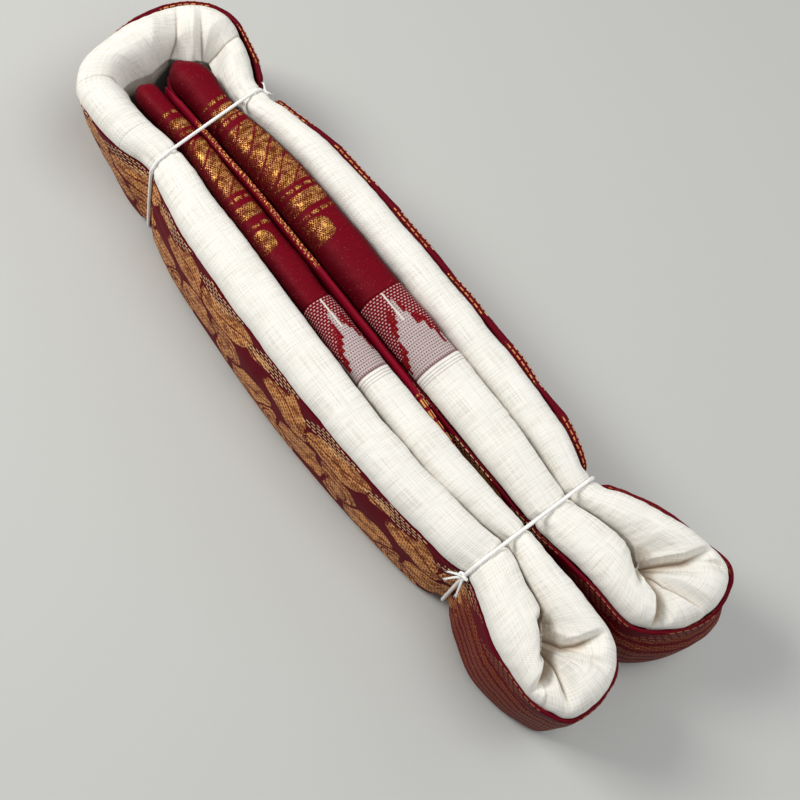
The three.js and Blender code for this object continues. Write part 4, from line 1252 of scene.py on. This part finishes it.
# ---------------------------------------------------------------------------------------
# The centre fold: the pallu's own turned edge, rolled thin and tight, that stands between the
# two inner rolls, plain crimson with one twisted line of gold thread.
FOLD_ROWS = np.array([
    # x, y, top
    (-116.0, -13.0, 44.0), (-109.0, -13.1, 46.0), (-96.0, -12.0, 45.0), (-60.0, -10.9, 46.0),
    (-10.0, -10.4, 46.0), (30.0, -9.9, 44.0), (56.0, -9.7, 38.0),
])
FOLD_HALF = 1.25               # half the bead's width, mm
FOLD_BOTTOM = 24.0             # height at which the neck ends, mm
FOLD_LEAN = 1.2                # how far the neck's foot lies to one side, mm
FOLD_NECK = 0.6                # the neck's width as a share of the bead's
FOLD_SOFT = 7                  # sections on each side over which the course is evened out
FOLD_ARC = 7                   # points of the bead on each side of its highest line
CRIMSON = (0.23, 0.003, 0.017)


def fold_surface():
    """Closed section carried along the fold's course: a round bead on a narrow neck that leans
    and reaches down between the rolls. Its first centimetre narrows to a point."""
    x = np.linspace(FOLD_ROWS[0, 0], FOLD_ROWS[-1, 0], 200)
    y = np.interp(x, FOLD_ROWS[:, 0], FOLD_ROWS[:, 1])
    top = np.interp(x, FOLD_ROWS[:, 0], FOLD_ROWS[:, 2])
    window = 2 * FOLD_SOFT + 1
    soft = np.ones(window) / window
    y = np.convolve(np.pad(y, FOLD_SOFT, mode="edge"), soft, "valid")
    y = y + 0.18 * waves(x, 0 * x, 71, 30, 30)
    top = np.convolve(np.pad(top, FOLD_SOFT, mode="edge"), soft, "valid")
    top = top + 0.3 * waves(x, 0 * x, 73, 22, 22)
    size = (0.25 + 0.75 * smooth((x - x[0]) / 8)) * (0.3 + 0.7 * smooth((x[-1] - x) / 6))
    arc = np.linspace(0, np.pi, 2 * FOLD_ARC + 1)
    neck = FOLD_HALF * FOLD_NECK
    t = [[FOLD_LEAN - neck], [FOLD_LEAN + neck], [neck + 0.3], [neck],
         FOLD_HALF * np.cos(arc), [-neck], [0.3 - neck]]
    t = np.concatenate(t)[None, :] * size[:, None]
    z = [[None], [None], [-12.0], [-4.6], -2.0 + 2.0 * np.sin(arc), [-4.6], [-12.0]]
    z = np.concatenate([np.array(part, dtype=float) for part in z])[None, :] + top[:, None]
    z[:, 0:2] = FOLD_BOTTOM
    points = np.stack([np.broadcast_to(x[:, None], t.shape), y[:, None] + t, z], axis=-1)
    points[..., 0:2] += SHIFT
    return points[:, ::-1]


fold_cloth, tree, shader, along, across = cloth_material("crimson_fold_cloth", 0.5)
wander = noise(tree, along / 1.4, across / 1.2, 9.0, 1.0)
twist = (along / 2.0 + across / 3.0 + wander).bars(0.34, 0.06)
twist = twist * across.size().between(-1.0, 1.15, 0.3) * along.between(-97.0, -27.0, 2.0)
speck = noise(tree, along / 0.8, across / 0.6, 3.0, 2.0).past(0.52, 0.05)
end_dash = (along / 4.6).bars(0.34, 0.03) * along.past(31.0, 0.5)
end_dash = end_dash * (across / 1.3).bars(0.28, 0.05)
gold = (twist * speck).highest(end_dash)
weave_tone_fold = noise(tree, along / 0.45, across / 0.9, 5.0, 1.0)
crimson = mixed(tree, weave_tone_fold, DEEP_MAROON, CRIMSON)
crimson = mixed(tree, 0.6, crimson, CRIMSON)
tree.links.new(mixed(tree, gold, crimson, GOLD), shader.inputs["Base Color"])
feed(tree, shader.inputs["Metallic"], gold * 0.3)
raised(tree, shader, gold * 0.7 + weave_tone_fold * 0.3, 0.25)

points = fold_surface()
girth = girths(points)
crown_at = 2 + FOLD_ARC         # after two points of the neck
girth = girth - girth[:, crown_at:crown_at + 1]
places = np.stack([points[..., 0], girth], axis=-1)
fold = grid_object("centre_fold_edge", points, places, True, True)
fold.data.materials.append(fold_cloth)
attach(fold, "root")
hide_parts("centre_fold")

# ---------------------------------------------------------------------------------------
# The two ties: soft white cotton thread, three plies twisted together, passed once round the
# bundle and knotted at one side, with short frayed ends.
TIES = {
    # thread radius, knot place (y, z), size of the knot, ends measured from the knot
    "upper": (0.60, (20.4, 42.5), 1.0, [(-2.8, 0.8, 2.0), (1.6, 1.8, -1.0)]),
    "lower": (0.68, (-37.6, 40.5), 1.5,
              [(-4.4, -2.6, -1.6), (3.2, -3.6, -7.5), (-3.4, -4.2, -4.6)]),
}
TIE_SLICE = 1.2                # half width of the slice of cloth that a thread lies on, mm
TIE_SINK = 0.8                 # height of the thread's middle over it, as a share of its radius
TIE_STEP = 0.45                # distance between sections of a thread, mm
PLIES = 3
PLY_PITCH = 3.4                # length of one twist, mm
PLY_SWELL = 0.13               # how far a ply stands out, as a share of the thread's radius
KNOT_FLAT = 0.55               # the knot's depth against its width
HAIRS = 12                     # loose fibres at each frayed end


def tie_course(tie, radius):
    """Closed course of a tie: at each angle the point of the pieces it holds that lies furthest
    out, moved out by the thread's radius, then spread evenly along its length."""
    sets = [surfaces[run]["points"] for run in RUNS] + [walls[run] for run in RUNS]
    cloud = np.concatenate([s.reshape(-1, 3) for s in sets])
    off = past_tie(tie, cloud[:, 0], cloud[:, 1])
    held = cloud[np.abs(off) < TIE_SLICE][:, 1:3]
    angle = np.linspace(0, 2 * np.pi, 720, endpoint=False)
    direction = np.stack([np.cos(angle), np.sin(angle)], axis=1)
    furthest = held[np.argmax(held @ direction.T, axis=0)] + direction * (radius * TIE_SINK)
    loop = np.concatenate([furthest, furthest[:1]])
    run = np.concatenate([[0], np.cumsum(np.hypot(*np.diff(loop, axis=0).T))])
    at = np.linspace(0, run[-1], int(run[-1] / TIE_STEP), endpoint=False)
    y, z = np.interp(at, run, loop[:, 0]), np.interp(at, run, loop[:, 1])
    x = SHIFT[0] + TIE_X[tie] + TIE_SLANT[tie] * (y - SHIFT[1])
    return np.stack([x, y, z], axis=1)


def thread_grid(path, radius, closed, taper=0.0):
    """Twisted thread along a path: a circle of points whose radius swells three times round,
    turning with the distance along, so that three plies show."""
    if closed:
        tangent = np.roll(path, -1, axis=0) - np.roll(path, 1, axis=0)
    else:
        tangent = np.gradient(path, axis=0)
    tangent /= np.linalg.norm(tangent, axis=1, keepdims=True)
    side = np.cross(tangent, [1.0, 0.0, 0.0] if abs(tangent[0, 0]) < 0.7 else [0.0, 0.0, 1.0])
    side /= np.linalg.norm(side, axis=1, keepdims=True)
    up = np.cross(side, tangent)
    steps = np.linalg.norm(np.diff(path, axis=0), axis=1)
    run = np.concatenate([[0.0], np.cumsum(steps)])
    turns = round(run[-1] / PLY_PITCH) / run[-1] if closed else 1 / PLY_PITCH
    angle = np.linspace(0, 2 * np.pi, 18, endpoint=False)[None, :]
    swell = 1 + PLY_SWELL * np.cos(PLIES * (angle - 2 * np.pi * run[:, None] * turns))
    size = radius * swell * (1 - taper * smooth(run / run[-1])[:, None])
    ring = path[:, None, :] + side[:, None, :] * (size * np.cos(angle))[..., None]
    ring = ring + up[:, None, :] * (size * np.sin(angle))[..., None]
    return ring[:, ::-1], run


def knot_path(centre, size):
    """Overhand knot: a trefoil curve, flattened against what it rests on."""
    t = np.linspace(0, 2 * np.pi, 90, endpoint=False)
    curve = np.stack([np.sin(t) + 2 * np.sin(2 * t), KNOT_FLAT * np.sin(3 * t),
                      np.cos(t) - 2 * np.cos(2 * t)], axis=1)
    return centre + curve * size / 3


def tail_path(start, reach, sag):
    """Free end: a curve from the knot to its reach that arches a little on the way."""
    t = np.linspace(0, 1, 26)[:, None]
    return start + np.array(reach) * t + np.array([0.0, 0.0, sag]) * np.sin(np.pi * t)


tie_thread, tree, shader, along, across = cloth_material("tie_thread", 0.85, 0.25)
fibre = noise(tree, along / 1.6, across / 0.18, 1.0, 1.0)
tie_colour = mixed(tree, fibre, (0.80, 0.785, 0.74), (0.97, 0.965, 0.94))
tree.links.new(tie_colour, shader.inputs["Base Color"])
raised(tree, shader, fibre, 0.08)

for tie, (radius, (knot_y, knot_z), knot_size, ends) in TIES.items():
    course = tie_course(tie, radius)
    nearest = course[np.argmin(np.hypot(course[:, 1] - knot_y, course[:, 2] - knot_z))]
    away = np.array([0.0, math.copysign(1.0, knot_y), 0.0])
    centre = nearest + away * knot_size * 0.6
    knot = knot_path(centre, knot_size)
    strands = [thread_grid(course, radius, True), thread_grid(knot, radius * 0.85, True)]
    rng = np.random.default_rng(5)
    for reach in ends:
        path = tail_path(centre, reach, 0.8)
        strands.append(thread_grid(path, radius * 0.7, False, 0.35))
        for _ in range(HAIRS):
            spread = np.array(reach) * 0.22 + rng.normal(0, 0.45, 3)
            hair = tail_path(path[-6], spread, rng.normal(0, 0.3))
            strands.append(thread_grid(hair, radius * 0.13, False, 0.6))
    meshes = []
    for k, (ring, run) in enumerate(strands):
        whole = k < 2
        if whole:
            ring = np.concatenate([ring, ring[:1]])
            run = np.append(run, run[-1] + TIE_STEP)
        place = np.broadcast_to(run[:, None], ring.shape[:2])
        round_at = np.broadcast_to(np.linspace(0, 4.0, ring.shape[1])[None, :], ring.shape[:2])
        places = np.stack([place, round_at], axis=-1)
        meshes.append(grid_object(f"tie_{tie}_{k}", ring, places, True, not whole))
    thread = meshes[0]
    thread.name = "tie_thread_" + tie
    with bpy.context.temp_override(
            active_object=thread, selected_editable_objects=meshes, object=thread):
        bpy.ops.object.join()
    thread.data.materials.append(tie_thread)
    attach(thread, "root")
    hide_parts("tie_" + tie)
